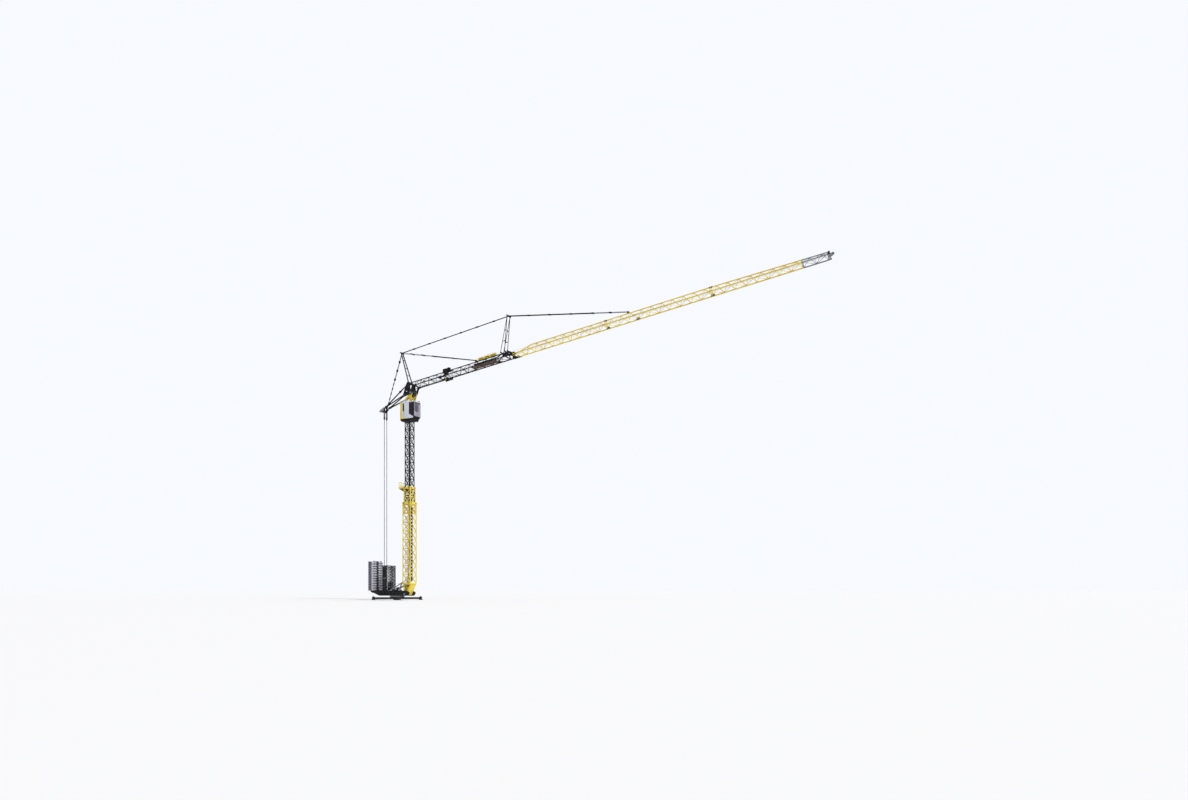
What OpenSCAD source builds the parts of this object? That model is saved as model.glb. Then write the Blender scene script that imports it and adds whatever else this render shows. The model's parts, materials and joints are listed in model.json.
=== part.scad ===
// Bottom-slewing tower crane with a telescoping lattice mast and a tied, slightly raised jib.
// Modelled at half size. Lengths are millimetres of the model, so one metre of it is two of the crane.
// X runs along the jib, Z is up, and the origin is on the slewing axis at the level of the foot pads.

/* [Base frame] */
// Spacing of the four jacks, along X and along Y
foot_span = 2300; // [1900:10:2700]
// Width of a base arm
base_arm_w = 170; // [120:5:230]
// Height of a base arm
base_arm_h = 150; // [110:5:190]
// Room between the ground and the base arms
base_clear = 60; // [40:5:100]
// Diameter of a foot pad
pad_d = 330; // [240:10:420]
// Thickness of a foot pad
pad_h = 22; // [14:1:36]
// Diameter of a jack spindle
jack_d = 64; // [48:2:80]
// Outer diameter of the slewing ring
ring_d = 1000; // [860:10:1100]
// Height of each half of the slewing ring
ring_h = 46; // [36:1:60]
// Thickness of the web of the slewing ring, from its bore to its rim
ring_t = 110; // [80:5:150]

/* [Slewing platform] */
// Distance from the slewing axis to the rear end of the platform
platform_rear = 2125; // [1900:25:2300]
// Distance from the slewing axis to the front end of the platform
platform_front = 1330; // [1250:10:1500]
// Height of the platform beams
beam_h = 360; // [300:10:420]
// Thickness of a platform beam
beam_t = 90; // [60:5:120]
// Distance between the centres of the two beams
beam_gap = 640; // [560:10:720]
// Length of the part of the beams that tapers up to the rear
beam_taper = 820; // [600:20:1000]
// Thickness of the deck and the cross members
deck_t = 40; // [25:5:60]

/* [Ballast] */
// Number of ballast slabs in the stack
slab_n = 17; // [12:1:22]
// Thickness of one slab
slab_h = 122; // [100:2:140]
// Length of a slab along the jib axis
slab_len = 310; // [240:10:360]
// Width of a slab across the jib axis
slab_w = 1180; // [1000:20:1300]
// Width of the guide slot in the middle of a slab
slot_w = 210; // [150:10:280]
// Depth of the guide slot
slot_d = 70; // [40:5:100]

/* [Winch cage] */
// Height of the cage above the deck
cage_h = 1775; // [1500:25:2000]
// Width of the cage across the jib axis
cage_w = 950; // [800:10:1050]
// Length of the cage along the jib axis
cage_len = 400; // [340:10:460]
// Distance from the slewing axis to the front of the cage
cage_front = 550; // [500:10:620]
// Width of a cage post
cage_post = 46; // [36:2:60]
// Diameter of the hoist drum
drum_d = 240; // [180:10:280]

/* [Mast] */
// Distance from the slewing axis to the middle of the mast
mast_x = 1100; // [1050:10:1150]
// Width of the outer mast section
outer_w = 690; // [680:1:710]
// Width of the middle mast section
middle_w = 584; // [575:1:588]
// Width of the inner mast section
inner_w = 478; // [466:1:482]
// Height of the bottom of the outer mast section
outer_z = 1170; // [1100:10:1300]
// Height of the top of the outer mast section
outer_top = 6700; // [6300:20:7100]
// Height of the top of the middle mast section
middle_top = 7800; // [7500:20:8100]
// Height of the top of the inner mast section
inner_top = 13720; // [13650:10:13760]
// Width of a mast chord tube
mast_chord = 48; // [40:1:50]
// Wall of a mast chord tube
chord_wall = 6; // [4:0.5:8]
// Diameter of a mast brace
mast_brace = 34; // [24:1:38]
// Length of the middle section that stays inside the outer one
middle_lap = 620; // [400:20:900]
// Length of the inner section that stays inside the middle one
inner_lap = 1080; // [600:20:1200]
// Number of panels in the outer mast section
outer_n = 9; // [7:1:11]
// Number of panels in the inner mast section
inner_n = 12; // [10:1:14]

/* [Jib] */
// Angle of the jib above level, as it stands
luff = 7.7; // [0:0.1:12]
// Distance from the slewing axis to the jib pivot
pivot_x = 1450; // [1420:5:1480]
// Height of the jib pivot
pivot_z = 14420; // [14380:10:14460]
// Length of the dark root section, from the pivot to the joint behind the knuckle
root_len = 8450; // [8100:50:8800]
// Length of the knuckle frame at the end of the root section
knuckle_len = 560; // [480:10:640]
// Length of the inner yellow section
inner_len = 6600; // [6200:50:7000]
// Length of the middle yellow section
middle_len = 6750; // [6350:50:7150]
// Length of the outer yellow section
outer_len = 5200; // [4800:50:5600]
// Length of the unpainted section at the tip
tip_len = 1400; // [1100:50:1700]
// Length over which the top chord climbs behind the knuckle
rise_len = 1250; // [1000:50:1500]
// Height of the lower chords above the pivot, square to the jib
jib_rise = 397; // [370:1:420]
// Width between the lower chords
jib_w = 770; // [720:5:790]
// Depth of the jib up to the last section
jib_h = 440; // [400:5:500]
// Depth of the jib at its nose
nose_h = 320; // [260:5:380]
// Width of a jib chord tube
jib_chord = 50; // [42:2:58]
// Wall of a jib chord tube
jib_wall = 3.5; // [3:0.5:6]
// Diameter of a jib brace
jib_brace = 24; // [18:1:28]
// Length of one jib panel
panel = 690; // [600:10:800]
// Width of the wheel track that sticks out of each lower chord
track_w = 34; // [26:2:44]
// Thickness of the wheel track
track_h = 7; // [5:1:10]
// Length of the nose frame
nose_len = 300; // [250:10:350]

/* [Head and ties] */
// Height of the shaft of the ties above the jib pivot, square to the jib
aframe_up = 3070; // [2900:10:3200]
// Distance of the shaft of the ties behind the jib pivot, along the jib
aframe_back = 618; // [540:2:700]
// Distance between the feet of the back frame
aframe_w = 400; // [360:10:440]
// Distance between the legs of the back frame at their top
aframe_top_w = 156; // [156:2:190]
// Diameter of a leg of the back frame
aframe_leg = 74; // [60:2:74]
// Distance of the tip of the rear boom behind the jib pivot, along the jib
boom_len = 2900; // [2800:10:3000]
// Distance of the tip of the rear boom below the jib pivot, square to the jib
boom_drop = 620; // [580:10:680]
// Diameter of a bar of the rear boom
boom_bar = 66; // [54:2:70]
// Diameter of a tie
tie_d = 30; // [20:1:40]
// Height of the jib strut above the lower chords
strut_h = 2720; // [2500:20:2900]
// Distance from the end of the root section back to the middle of the strut's feet
strut_back = 820; // [800:10:860]
// Distance from the end of the root section back to the top of the strut
strut_lean = 150; // [50:10:400]
// Distance from the middle of the strut to each of its feet
strut_spread = 155; // [120:5:165]
// Distance from the end of the root section back to the anchor of the short ties
short_tie_back = 3020; // [2800:10:3200]
// Distance from the joint of the inner and middle sections to the anchor of the front ties
front_tie_on = 1550; // [1300:10:1800]
// Diameter of a fall of luffing rope
rope_d = 22; // [16:1:24]

/* [Cab] */
// Length of the cab along the jib axis
cab_len = 1200; // [1100:10:1300]
// Width of the cab
cab_w = 680; // [620:10:740]
// Height of the cab
cab_h = 1130; // [1080:10:1180]
// Distance from the slewing axis to the rear of the cab
cab_x = 1140; // [1100:10:1180]
// Height of the cab floor
cab_z = 12450; // [12400:10:12500]
// Wall of the cab
cab_wall = 16; // [12:1:28]
// Room between the mast and the cab
cab_gap = 125; // [110:5:150]

/* [Trolley] */
// Place of the trolley along the jib, from the pivot
trolley_t = 2850; // [2400:50:3300]
// Length of the trolley
trolley_len = 560; // [500:10:620]
// Diameter of a trolley wheel
wheel_d = 80; // [60:2:100]

/* [Hidden] */

seat = 0.3;
joint_gap = 0.6;
arm_top = base_clear + base_arm_h;
ring_z = arm_top + ring_h;
platform_z = ring_z + seat + ring_h;
deck_z = platform_z + beam_h;
ballast_top = deck_z + slab_n * slab_h;
foot_x = mast_x - 150;
middle_n = 3;
foot_z = platform_z + 110;
foot_pin_d = 90;
cage_z = deck_z;

fork_t = 30;
fork_y = inner_w / 2 + fork_t / 2;
pivot_d = 80;
head_t = 30;
head_y = fork_y + 47;
boom_pin_d = 50;
joint_d = 50;
shaft_d = 70;
anchor_d = 36;
anchor_h = 70;
shaft_half = 165;
strut_half = 175;
rear_y = 13;
back_y = 32;
front_y = 58;
short_y = 50;
short_head_y = 136;

root_start = 360;
root_end = root_len - knuckle_len;
inner_end = root_len + inner_len;
middle_end = inner_end + middle_len;
outer_end = middle_end + outer_len;
tip_end = outer_end + tip_len;
jib_len = tip_end + nose_len;
short_tie_t = root_len - short_tie_back;
front_tie_t = inner_end + front_tie_on;
strut_t = root_len - strut_back;
strut_top_t = root_len - strut_lean;
winch_t = trolley_t + 180;
aframe_t = -180;
aframe_n = 740;
head_t0 = -aframe_back;
head_n0 = aframe_up;
top_n = jib_rise + jib_h - jib_chord / 2;
boom_up = [-327, 528];
boom_low = [-640, -58];
boom_tip = [-boom_len, -boom_drop];
boom_joint = [-boom_len + 476, -boom_drop + 183];
rope_t = boom_joint.x - 176;
rope_n = boom_joint.y - 68;
rope_pin_d = 36;
rope_y = 125;
rope_split = 30;
boom_join = 190;
boom_y = head_y + head_t / 2 + 44;
rope_foot_h = 70;
rack_t = 16;
rope_x = pivot_x + rope_t * cos(luff) - rope_n * sin(luff);
rope_pin_z = pivot_z + rope_t * sin(luff) + rope_n * cos(luff);
rope_top = rope_pin_z - 757;

cab_y = -inner_w / 2 - cab_gap - cab_w / 2;
pane_t = 8;
pulley_d = 160;
pulley_pin_d = 40;
pulley_t = jib_len - 60;
pulley_n = jib_rise + 150;
nose_cheek = 36;
guard_t = root_len - 2130;
guard_len = 1480;
tray_t = root_len - 2350;
tray_len = 1900;
guard_w = 150;
sheave_y = 60;
drop_n = 88;

yellow = "#e6c52c";
dark = "#34363a";
grey = "#8d9094";
pale = "#c4c8cf";
black = "#1c1d20";
white = "#e4e4e6";

// A straight bar of few sides from point a to point b, d wide from flat to flat
module bar(a, b, d, sides = 6) {
  v = b - a;
  len = norm(v);
  translate(a) rotate([0, acos(v.z / len), atan2(v.y, v.x)]) rotate([0, 0, 180 / sides])
    cylinder(d = d / cos(180 / sides), h = len, $fn = sides);
}

// A square bar from point a to point b that runs past both ends by the given length
module square_bar(a, b, w, past = 0) {
  v = b - a;
  len = norm(v);
  translate(a) rotate([0, acos(v.z / len), atan2(v.y, v.x)])
    translate([-w / 2, -w / 2, -past]) cube([w, w, len + 2 * past]);
}

// A block with its middle at the given place in X and Y, standing on z
module block(x, y, z, lx, ly, lz) {
  translate([x - lx / 2, y - ly / 2, z]) cube([lx, ly, lz]);
}

// A plate with the given outline in X and Z, centred on y
module side_plate(y, t, outline) {
  translate([0, y + t / 2, 0]) rotate([90, 0, 0]) linear_extrude(t) polygon(outline);
}

// A round disc or drum lying across the jib, centred on the given point
module cross_disc(x, y, z, d, w) {
  translate([x, y + w / 2, z]) rotate([90, 0, 0]) cylinder(d = d, h = w, $fn = 48);
}

// Everything on the jib is drawn level, from the pivot, and then raised by the luffing angle
module on_jib() {
  translate([pivot_x, 0, pivot_z]) rotate([0, -luff, 0]) children();
}

// One square lattice mast section: four hollow chords, a ring of bars at each panel, and braces
module lattice_mast(w, z0, z1, n, crossed) {
  c = (w - mast_chord) / 2;
  bore = mast_chord - 2 * chord_wall;
  step = (z1 - z0 - mast_chord) / n;
  first = z0 + mast_chord / 2;
  difference() {
    union() {
      for (sx = [-1, 1], sy = [-1, 1])
        block(mast_x + sx * c, sy * c, z0, mast_chord, mast_chord, z1 - z0);
      for (side = [0:3]) translate([mast_x, 0, 0]) rotate([0, 0, 90 * side]) {
        for (i = [0:n]) bar([-c, c, first + i * step], [c, c, first + i * step], mast_brace, 4);
        for (i = [0:n - 1]) {
          s = (i + side) % 2 == 0 ? 1 : -1;
          bar([-s * c, c, first + i * step], [s * c, c, first + (i + 1) * step], mast_brace - 3, 4);
          if (crossed)
            bar([s * c, c, first + i * step], [-s * c, c, first + (i + 1) * step], mast_brace - 3, 4);
        }
      }
    }
    for (sx = [-1, 1], sy = [-1, 1])
      block(mast_x + sx * c, sy * c, z0 - 1, bore, bore, z1 - z0 + 2);
  }
}

// Depth of the jib at a distance t from the pivot
function jib_depth(t) = t < middle_end ? jib_h
  : jib_h + (nose_h - jib_h) * (t - middle_end) / (tip_end - middle_end);

// Height of the middle of the top chord where a section starts low, behind the knuckle
low_start = jib_rise + jib_chord * 2.1;

// The two lower chords with their wheel tracks, or their bores
module lower_chords(t0, t1) {
  y = (jib_w - jib_chord) / 2;
  for (s = [-1, 1]) {
    block((t0 + t1) / 2, s * y, jib_rise, t1 - t0, jib_chord, jib_chord);
    block((t0 + t1) / 2, s * (jib_w + track_w - 2) / 2, jib_rise + 4, t1 - t0, track_w + 2, track_h);
  }
}

module chord_bores(t0, t1) {
  y = (jib_w - jib_chord) / 2;
  bore = jib_chord - 2 * jib_wall;
  for (s = [-1, 1]) block((t0 + t1) / 2, s * y, jib_rise + jib_wall, t1 - t0 + 2, bore, bore);
}

// One jib section in the jib's own frame, with its bracing. climb is the length over which the
// top chord climbs from the lower chords to the full depth.
module jib_section(t0, t1, climb) {
  n = max(1, round((t1 - t0) / panel));
  step = (t1 - t0 - jib_chord) / n;
  first = t0 + jib_chord / 2;
  y = (jib_w - jib_chord) / 2;
  low = jib_rise + jib_chord / 2;
  bore = jib_chord - 2 * jib_wall;
  full = t0 + climb;
  function top(t) = t >= full ? low + jib_depth(t) - jib_chord
    : low_start + (low + jib_depth(full) - jib_chord - low_start) * (t - t0) / climb;
  difference() {
    union() {
      lower_chords(t0, t1);
      if (climb > 0) square_bar([t0, 0, top(t0)], [full, 0, top(full)], jib_chord - 4);
      square_bar([full, 0, top(full)], [t1, 0, top(t1)], jib_chord);
      for (i = [0:n]) bar([first + i * step, -y, low], [first + i * step, y, low], jib_brace, 4);
      for (r = [-1, 1], e = climb > 0 ? [n] : [0, n])
        bar([first + e * step, r * y, low], [first + e * step, 0, top(first + e * step)], jib_brace + 2);
      for (i = [0:n - 1]) {
        a = first + i * step;
        m = a + step / 2;
        s = i % 2 == 0 ? 1 : -1;
        bar([a, -s * y, low], [a + step, s * y, low], jib_brace - 3, 4);
        for (r = [-1, 1]) {
          bar([a, r * y, low], [m, 0, top(m)], jib_brace);
          bar([m, 0, top(m)], [a + step, r * y, low], jib_brace);
        }
      }
    }
    chord_bores(t0, t1);
    if (climb > 0) square_bar([t0, 0, top(t0)], [full, 0, top(full)], bore - 4, 2);
    square_bar([full, 0, top(full)], [t1, 0, top(t1)], bore, 2);
  }
}

// Hub and four arms that spread to the jacks, with the square of ties between them
module base_frame() {
  hub_d = ring_d - 60;
  reach = foot_span / 2;
  boss_d = 190;
  color(dark) difference() {
    union() {
      translate([0, 0, base_clear]) cylinder(d = hub_d, h = base_arm_h, $fn = 64);
      for (a = [45:90:315]) rotate([0, 0, a])
        block(reach * sqrt(2) / 2, 0, base_clear, reach * sqrt(2), base_arm_w, base_arm_h - 10);
      for (sx = [-1, 1], sy = [-1, 1]) translate([sx * reach, sy * reach, base_clear - 10])
        cylinder(d = boss_d, h = base_arm_h + 30, $fn = 48);
      for (a = [0:90:270]) rotate([0, 0, a])
        block(0, reach, base_clear + 20, foot_span, base_arm_w / 2, base_arm_h / 2);
    }
    translate([0, 0, base_clear - 1]) cylinder(d = ring_d - 2 * ring_t - 60, h = base_arm_h + 2, $fn = 64);
    for (sx = [-1, 1], sy = [-1, 1]) translate([sx * reach, sy * reach, 0])
      cylinder(d = jack_d + 2 * seat, h = arm_top + 60, $fn = 48);
  }
}

// A spindle, its collar and its foot pad at each corner
module base_jacks() {
  reach = foot_span / 2;
  head = 70;
  color(grey) for (sx = [-1, 1], sy = [-1, 1]) translate([sx * reach, sy * reach, 0]) {
    cylinder(d = pad_d, h = pad_h, $fn = 48);
    translate([0, 0, pad_h - 1]) cylinder(d = jack_d * 1.5, h = base_clear - 10 - pad_h, $fn = 32);
    translate([0, 0, pad_h]) cylinder(d = jack_d, h = arm_top + head - pad_h, $fn = 48);
  }
}

// Half of the slewing ring
module ring_half(z) {
  translate([0, 0, z]) difference() {
    cylinder(d = ring_d, h = ring_h, $fn = 96);
    translate([0, 0, -1]) cylinder(d = ring_d - 2 * ring_t, h = ring_h + 2, $fn = 96);
  }
}

module slew_ring_lower() {
  color(grey) ring_half(arm_top);
}

module slew_ring_upper() {
  color(grey) ring_half(ring_z + seat);
}

// The two long side beams, tapered under the ballast, with the fork that carries the mast
module platform_beams() {
  tail_h = 70;
  color(dark) for (s = [-1, 1]) {
    difference() {
      union() {
        side_plate(s * beam_gap / 2, beam_t, [[-platform_rear, deck_z], [-platform_rear, deck_z - tail_h],
          [-platform_rear + beam_taper, platform_z], [platform_front - 120, platform_z],
          [platform_front, platform_z + 140], [platform_front, platform_z + 250],
          [platform_front - 250, deck_z]]);
        cross_disc(foot_x, s * beam_gap / 2, foot_z, 200, beam_t + 20);
      }
      cross_disc(foot_x, s * beam_gap / 2, foot_z, foot_pin_d + 2 * seat, 2 * beam_t);
    }
  }
}

// Cross members between the beams, the ring's seat plate and the deck plates
module platform_deck() {
  inner = beam_gap - beam_t;
  wide = beam_gap + beam_t;
  color(dark) {
    difference() {
      block(0, 0, platform_z, ring_d + 20, inner, deck_t);
      translate([0, 0, platform_z - 1]) cylinder(d = ring_d - 2 * ring_t, h = deck_t + 2, $fn = 96);
    }
    for (x = [-platform_rear + 60, -platform_rear + 430, -1300, -840, -620, 560])
      block(x, 0, deck_z - 160, deck_t, inner, 160);
    for (s = [-1, 1]) block(0, s * 130, platform_z + deck_t, 1080, deck_t, 150);
    block(-900, 0, deck_z - 12, 640, inner, 12);
    block(-platform_rear + 240, 0, deck_z - 12, 420, inner, 12);
    for (s = [-1, 1]) block(rope_x, s * rope_y, deck_z - 2, 130, 50, rope_foot_h + 2);
  }
}

// One slab with its guide slot, and a rebate round its upper edge that shows as a joint
module slab(z, shift) {
  joint = 26;
  inset = 18;
  difference() {
    union() {
      block(-platform_rear + slab_len / 2, 0, z, slab_len, slab_w, slab_h - joint);
      block(-platform_rear + slab_len / 2, 0, z, slab_len - 2 * inset, slab_w - 2 * inset, slab_h - seat);
    }
    block(-platform_rear + slab_len, 0, z - 1, 2 * slot_d, slot_w + shift, slab_h + 2);
  }
}

module ballast_slabs() {
  color(pale) for (i = [0:slab_n - 1]) slab(deck_z + seat + i * slab_h, i % 2 == 0 ? 0 : 90);
}

// The guide post in the slot of the slabs, with the cap bar over the stack
module ballast_posts() {
  post_x = -platform_rear + slab_len - slot_d / 2;
  color(dark) {
    block(post_x, 0, deck_z + seat, slot_d - 2 * seat, slot_w - 40, ballast_top - deck_z + 30);
    block(post_x - 40, 0, ballast_top + seat + 1, 160, slot_w + 60, 28);
  }
}

// Posts, rails and the close crossed bracing of the cage round the winch
module cage_frame() {
  x0 = -cage_front - cage_len + cage_post / 2;
  x1 = -cage_front - cage_post / 2;
  y = (cage_w - cage_post) / 2;
  n = 8;
  brace = 28;
  rise = (cage_h - cage_post) / n;
  first = cage_z + cage_post / 2;
  color(dark) {
    for (x = [x0, x1], s = [-1, 1]) block(x, s * y, cage_z + seat, cage_post, cage_post, cage_h - seat);
    block(x1, 0, cage_z + seat, cage_post - 6, cage_post - 6, cage_h - seat - 6);
    for (x = [x0, x1], z = [first, first + cage_h - cage_post])
      bar([x, -y, z], [x, y, z], cage_post * 0.8, 4);
    for (s = [-1, 1], z = [first, first + cage_h - cage_post])
      bar([x0, s * y, z], [x1, s * y, z], cage_post * 0.8, 4);
    for (i = [0:n - 1], s = [-1, 1]) {
      bar([x1, 0, first + i * rise], [x1, s * y, first + (i + 1) * rise], brace);
      bar([x1, s * y, first + i * rise], [x1, 0, first + (i + 1) * rise], brace);
    }
  }
}

// The closed switch cabinet that fills the back of the cage
module cage_cabinet() {
  depth = 150;
  low = 560;
  x = -cage_front - cage_len + depth / 2 + 4;
  high = cage_h - 2 * cage_post - low;
  color(black) difference() {
    block(x, 0, cage_z + low, depth, cage_w - 2 * cage_post - 2 * seat, high);
    for (s = [-1, 0, 1]) block(x + depth / 2, s * 270, cage_z + low + 40, 12, 240, high - 80);
  }
}

// Hoist drum with its flanges, motor and bearing feet
module hoist_winch() {
  x = -cage_front - cage_len / 2 - 18;
  z = cage_z + 60 + drum_d * 0.75;
  flange = drum_d * 1.4;
  width = cage_w - 2 * cage_post - 180;
  color(grey) {
    cross_disc(x, 0, z, drum_d, width);
    for (s = [-1, 1]) cross_disc(x, s * width / 2, z, flange, 24);
    for (s = [-1, 1]) block(x, s * (width / 2 + 40), cage_z, 200, 36, z - cage_z + 60);
    cross_disc(x, 0, z, 60, width + 150);
  }
}

// Two pairs of braces from the platform: long ones to the mast, short thick ones to its foot
module mast_braces() {
  back = mast_x - outer_w / 2 - seat;
  y = (outer_w - mast_chord) / 2;
  long_x = -260;
  short_x = 470;
  plate = 36;
  color(grey) for (s = [-1, 1]) {
    bar([long_x, s * y, deck_z + 70], [back - 60, s * y, outer_z + 40], 60, 8);
    block(long_x, s * y, deck_z + seat, 150, plate, 110);
    side_plate(s * y, plate, [[back - 130, outer_z - 30], [back, outer_z - 30],
      [back, outer_z + 130], [back - 60, outer_z + 110]]);
    bar([short_x, s * y, deck_z + 90], [back - 90, s * y, outer_z - 10], 90, 8);
    block(short_x, s * y, deck_z + seat, 190, plate, 130);
  }
}

// The wedge that narrows from the mast down to its pin
module mast_foot() {
  half = outer_w / 2;
  tip = 130;
  plate = 36;
  inner = beam_gap / 2 - beam_t / 2 - 12;
  depth = outer_z - seat;
  color(yellow) {
    for (s = [-1, 1]) difference() {
      side_plate(s * (inner - 20), plate, [[mast_x - half, depth], [mast_x - half, depth - 90],
        [foot_x - tip, foot_z - 60], [foot_x + tip, foot_z - 60], [mast_x + half, depth - 90],
        [mast_x + half, depth]]);
      side_plate(s * (inner - 20), plate + 4, [[mast_x - half + 110, depth - 110],
        [foot_x - 60, foot_z + 230], [foot_x + 90, foot_z + 230], [mast_x + half - 130, depth - 110]]);
    }
    block(mast_x, 0, depth - 60, outer_w, outer_w, 60);
    for (s = [-1, 1]) side_plate(0, 2 * inner - 50, [[mast_x + s * (half - 24), depth - 80],
      [mast_x + s * half, depth - 80], [foot_x + s * tip, foot_z - 50],
      [foot_x + s * (tip - 24), foot_z - 50]]);
    cross_disc(foot_x, 0, foot_z, foot_pin_d, beam_gap + beam_t + 44);
  }
}

module outer_mast() {
  color(yellow) lattice_mast(outer_w, outer_z, outer_top, outer_n, true);
}

// The collar that guides the next section at the top of the outer one
module mast_collar() {
  high = 150;
  color(yellow) difference() {
    block(mast_x, 0, outer_top + seat, outer_w + 30, outer_w + 30, high);
    block(mast_x, 0, outer_top - 1, middle_w + 2 * seat, middle_w + 2 * seat, high + 4);
  }
}

// The punched strip up the front of the outer section, for the climbing pins
module rack_strip() {
  wide = 170;
  x = mast_x + (outer_w - mast_chord + mast_brace) / 2 + seat + rack_t / 2;
  y = mast_chord + wide / 2 + 8 - outer_w / 2;
  long = outer_top - outer_z - 360;
  pitch = 240;
  hole = 130;
  color(black) difference() {
    block(x, y, outer_z + 160, rack_t, wide, long);
    for (i = [0:floor((long - hole) / pitch)])
      block(x, y, outer_z + 200 + i * pitch, rack_t + 10, wide - 60, hole);
  }
}

module middle_mast() {
  color(yellow) lattice_mast(middle_w, outer_top - middle_lap, middle_top, middle_n, true);
}

// Ring at the top of the middle section, with the small railed step on its rear side
module service_platform() {
  high = 110;
  step_l = 430;
  step_w = 520;
  x0 = mast_x - middle_w / 2 - 15;
  rail = 24;
  rail_h = 420;
  color(yellow) {
    difference() {
      block(mast_x, 0, middle_top + seat, middle_w + 30, middle_w + 30, high);
      block(mast_x, 0, middle_top - 1, inner_w + 2 * seat, inner_w + 2 * seat, high + 4);
    }
    block(x0 - step_l / 2, 0, middle_top + 10, step_l + 4, step_w, 30);
    for (s = [-1, 1], x = [x0 - step_l + rail / 2, x0 - step_l / 2])
      block(x, s * (step_w - rail) / 2, middle_top + 36, rail, rail, rail_h);
    for (s = [-1, 1], k = [0.5, 1])
      block(x0 - step_l * 0.75, s * (step_w - rail) / 2, middle_top + 12 + rail_h * k,
        step_l / 2, rail * 0.8, rail);
    for (k = [0.5, 1])
      block(x0 - step_l + rail / 2, 0, middle_top + 12 + rail_h * k, rail * 0.8, step_w - rail, rail);
  }
}

module inner_mast() {
  color(dark) lattice_mast(inner_w, middle_top - inner_lap, inner_top, inner_n, true);
}

// One ladder along the rear side of a mast section, with a bracket to each ring of bars
module ladder(back, z0, z1, first, step, count) {
  rail = 14;
  wide = 200;
  rung = 150;
  x = back + mast_brace / 2 + seat + 60;
  for (s = [-1, 1]) block(x, s * wide / 2, z0, rail * 2, rail, z1 - z0);
  for (i = [1:floor((z1 - z0) / rung) - 1]) block(x, 0, z0 + i * rung, rail, wide, rail);
  for (i = [1:count - 1], s = [-1, 1])
    block((back + mast_brace / 2 + seat + x) / 2, s * wide / 2, first + i * step - 10,
      x - back - mast_brace / 2 - seat, rail, 20);
}

// Ladders inside the outer and the inner mast section
module mast_ladder() {
  outer_back = mast_x - (outer_w - mast_chord) / 2;
  inner_back = mast_x - (inner_w - mast_chord) / 2;
  outer_step = (outer_top - outer_z - mast_chord) / outer_n;
  inner_z = middle_top - inner_lap;
  inner_step = (inner_top - inner_z - mast_chord) / inner_n;
  color(grey) {
    ladder(outer_back, outer_z + 40, outer_top - middle_lap - 200, outer_z + mast_chord / 2,
      outer_step, outer_n - 1);
    ladder(inner_back, inner_z + 40, inner_top - 60, inner_z + mast_chord / 2,
      inner_step, inner_n);
  }
}

// The arched hood over the mast head, open below its arms, with the fork that holds the jib pivot
module mast_cap() {
  w = inner_w + 60;
  half = w / 2;
  z = inner_top + seat;
  plate = 24;
  color(yellow) {
    difference() {
      block(mast_x, 0, z, w, w, 60);
      block(mast_x, 0, z - 1, inner_w - 90, inner_w - 90, 62);
    }
    for (s = [-1, 1]) {
      difference() {
        union() {
          side_plate(s * fork_y, fork_t, [[mast_x - half, z + 40], [mast_x + half, z + 40],
            [pivot_x + 70, pivot_z - 80], [pivot_x - 30, pivot_z + 80], [mast_x - half, z + 260]]);
          cross_disc(pivot_x, s * fork_y, pivot_z, 180, fork_t + 14);
        }
        cross_disc(pivot_x, s * fork_y, pivot_z, pivot_d + 2 * seat, fork_t + 30);
        side_plate(s * fork_y, fork_t + 10, [[mast_x - half + 70, z + 90], [mast_x + half - 90, z + 90],
          [mast_x + half - 70, z + 420], [mast_x - half + 70, z + 210]]);
      }
      translate([mast_x + s * (half - plate / 2), 0, 0]) rotate([0, 0, 90]) difference() {
        side_plate(0, plate, [[-half + fork_t - 2, z + 40], [half - fork_t + 2, z + 40],
          [half - fork_t + 2, z + 250], [60, z + 400], [-60, z + 400], [-half + fork_t - 2, z + 250]]);
        side_plate(0, plate + 10, [[-half + fork_t + 60, z + 90], [half - fork_t - 60, z + 90],
          [half - fork_t - 60, z + 200], [40, z + 310], [-40, z + 310], [-half + fork_t + 60, z + 200]]);
      }
    }
  }
}

// Arms that carry the cab on the side of the mast
module cab_bracket() {
  y0 = -inner_w / 2 - seat;
  reach = cab_gap - 2 * seat;
  plate = 22;
  color(dark) for (z = [cab_z + 90, cab_z + cab_h - 190]) {
    block(mast_x + 160, y0 - reach / 2, z, 560, reach, 70);
    block(mast_x, y0 - plate / 2, z, inner_w, plate, 70);
  }
}

// Outline of the cab from the side, drawn in by d on every edge
function cab_outline(d) = [[cab_x + d, cab_z + d], [cab_x + cab_len - 150 - d / 2, cab_z + d],
  [cab_x + cab_len - d, cab_z + 140 + d / 2], [cab_x + cab_len - d, cab_z + cab_h - d],
  [cab_x + d, cab_z + cab_h - d]];

// Outline of the big side window, which reaches the front and has a slanted lower edge
function side_window(d) = [[cab_x + 0.645 * cab_len + d, cab_z + 330 + d],
  [cab_x + cab_len - 30 - d, cab_z + 90 + d], [cab_x + cab_len - 30 - d, cab_z + cab_h - 36 - d],
  [cab_x + 0.645 * cab_len + d, cab_z + cab_h - 36 - d]];

// Window openings of the cab, or the panes that fill them, which are smaller by the play
module cab_windows(depth, play) {
  side_y = (cab_w - depth) / 2 + (play > 0 ? 0 : cab_wall);
  front_x = cab_x + cab_len - depth / 2 + (play > 0 ? 0 : cab_wall);
  for (s = [-1, 1]) {
    side_plate(cab_y + s * side_y, depth, side_window(play));
    block(cab_x + 0.235 * cab_len, cab_y + s * side_y, cab_z + 540 + play,
      0.08 * cab_len - 2 * play, depth, 500 - 2 * play);
  }
  block(front_x, cab_y, cab_z + 190 + play, depth, cab_w - 90 - 2 * play, cab_h - 240 - 2 * play);
}

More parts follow.
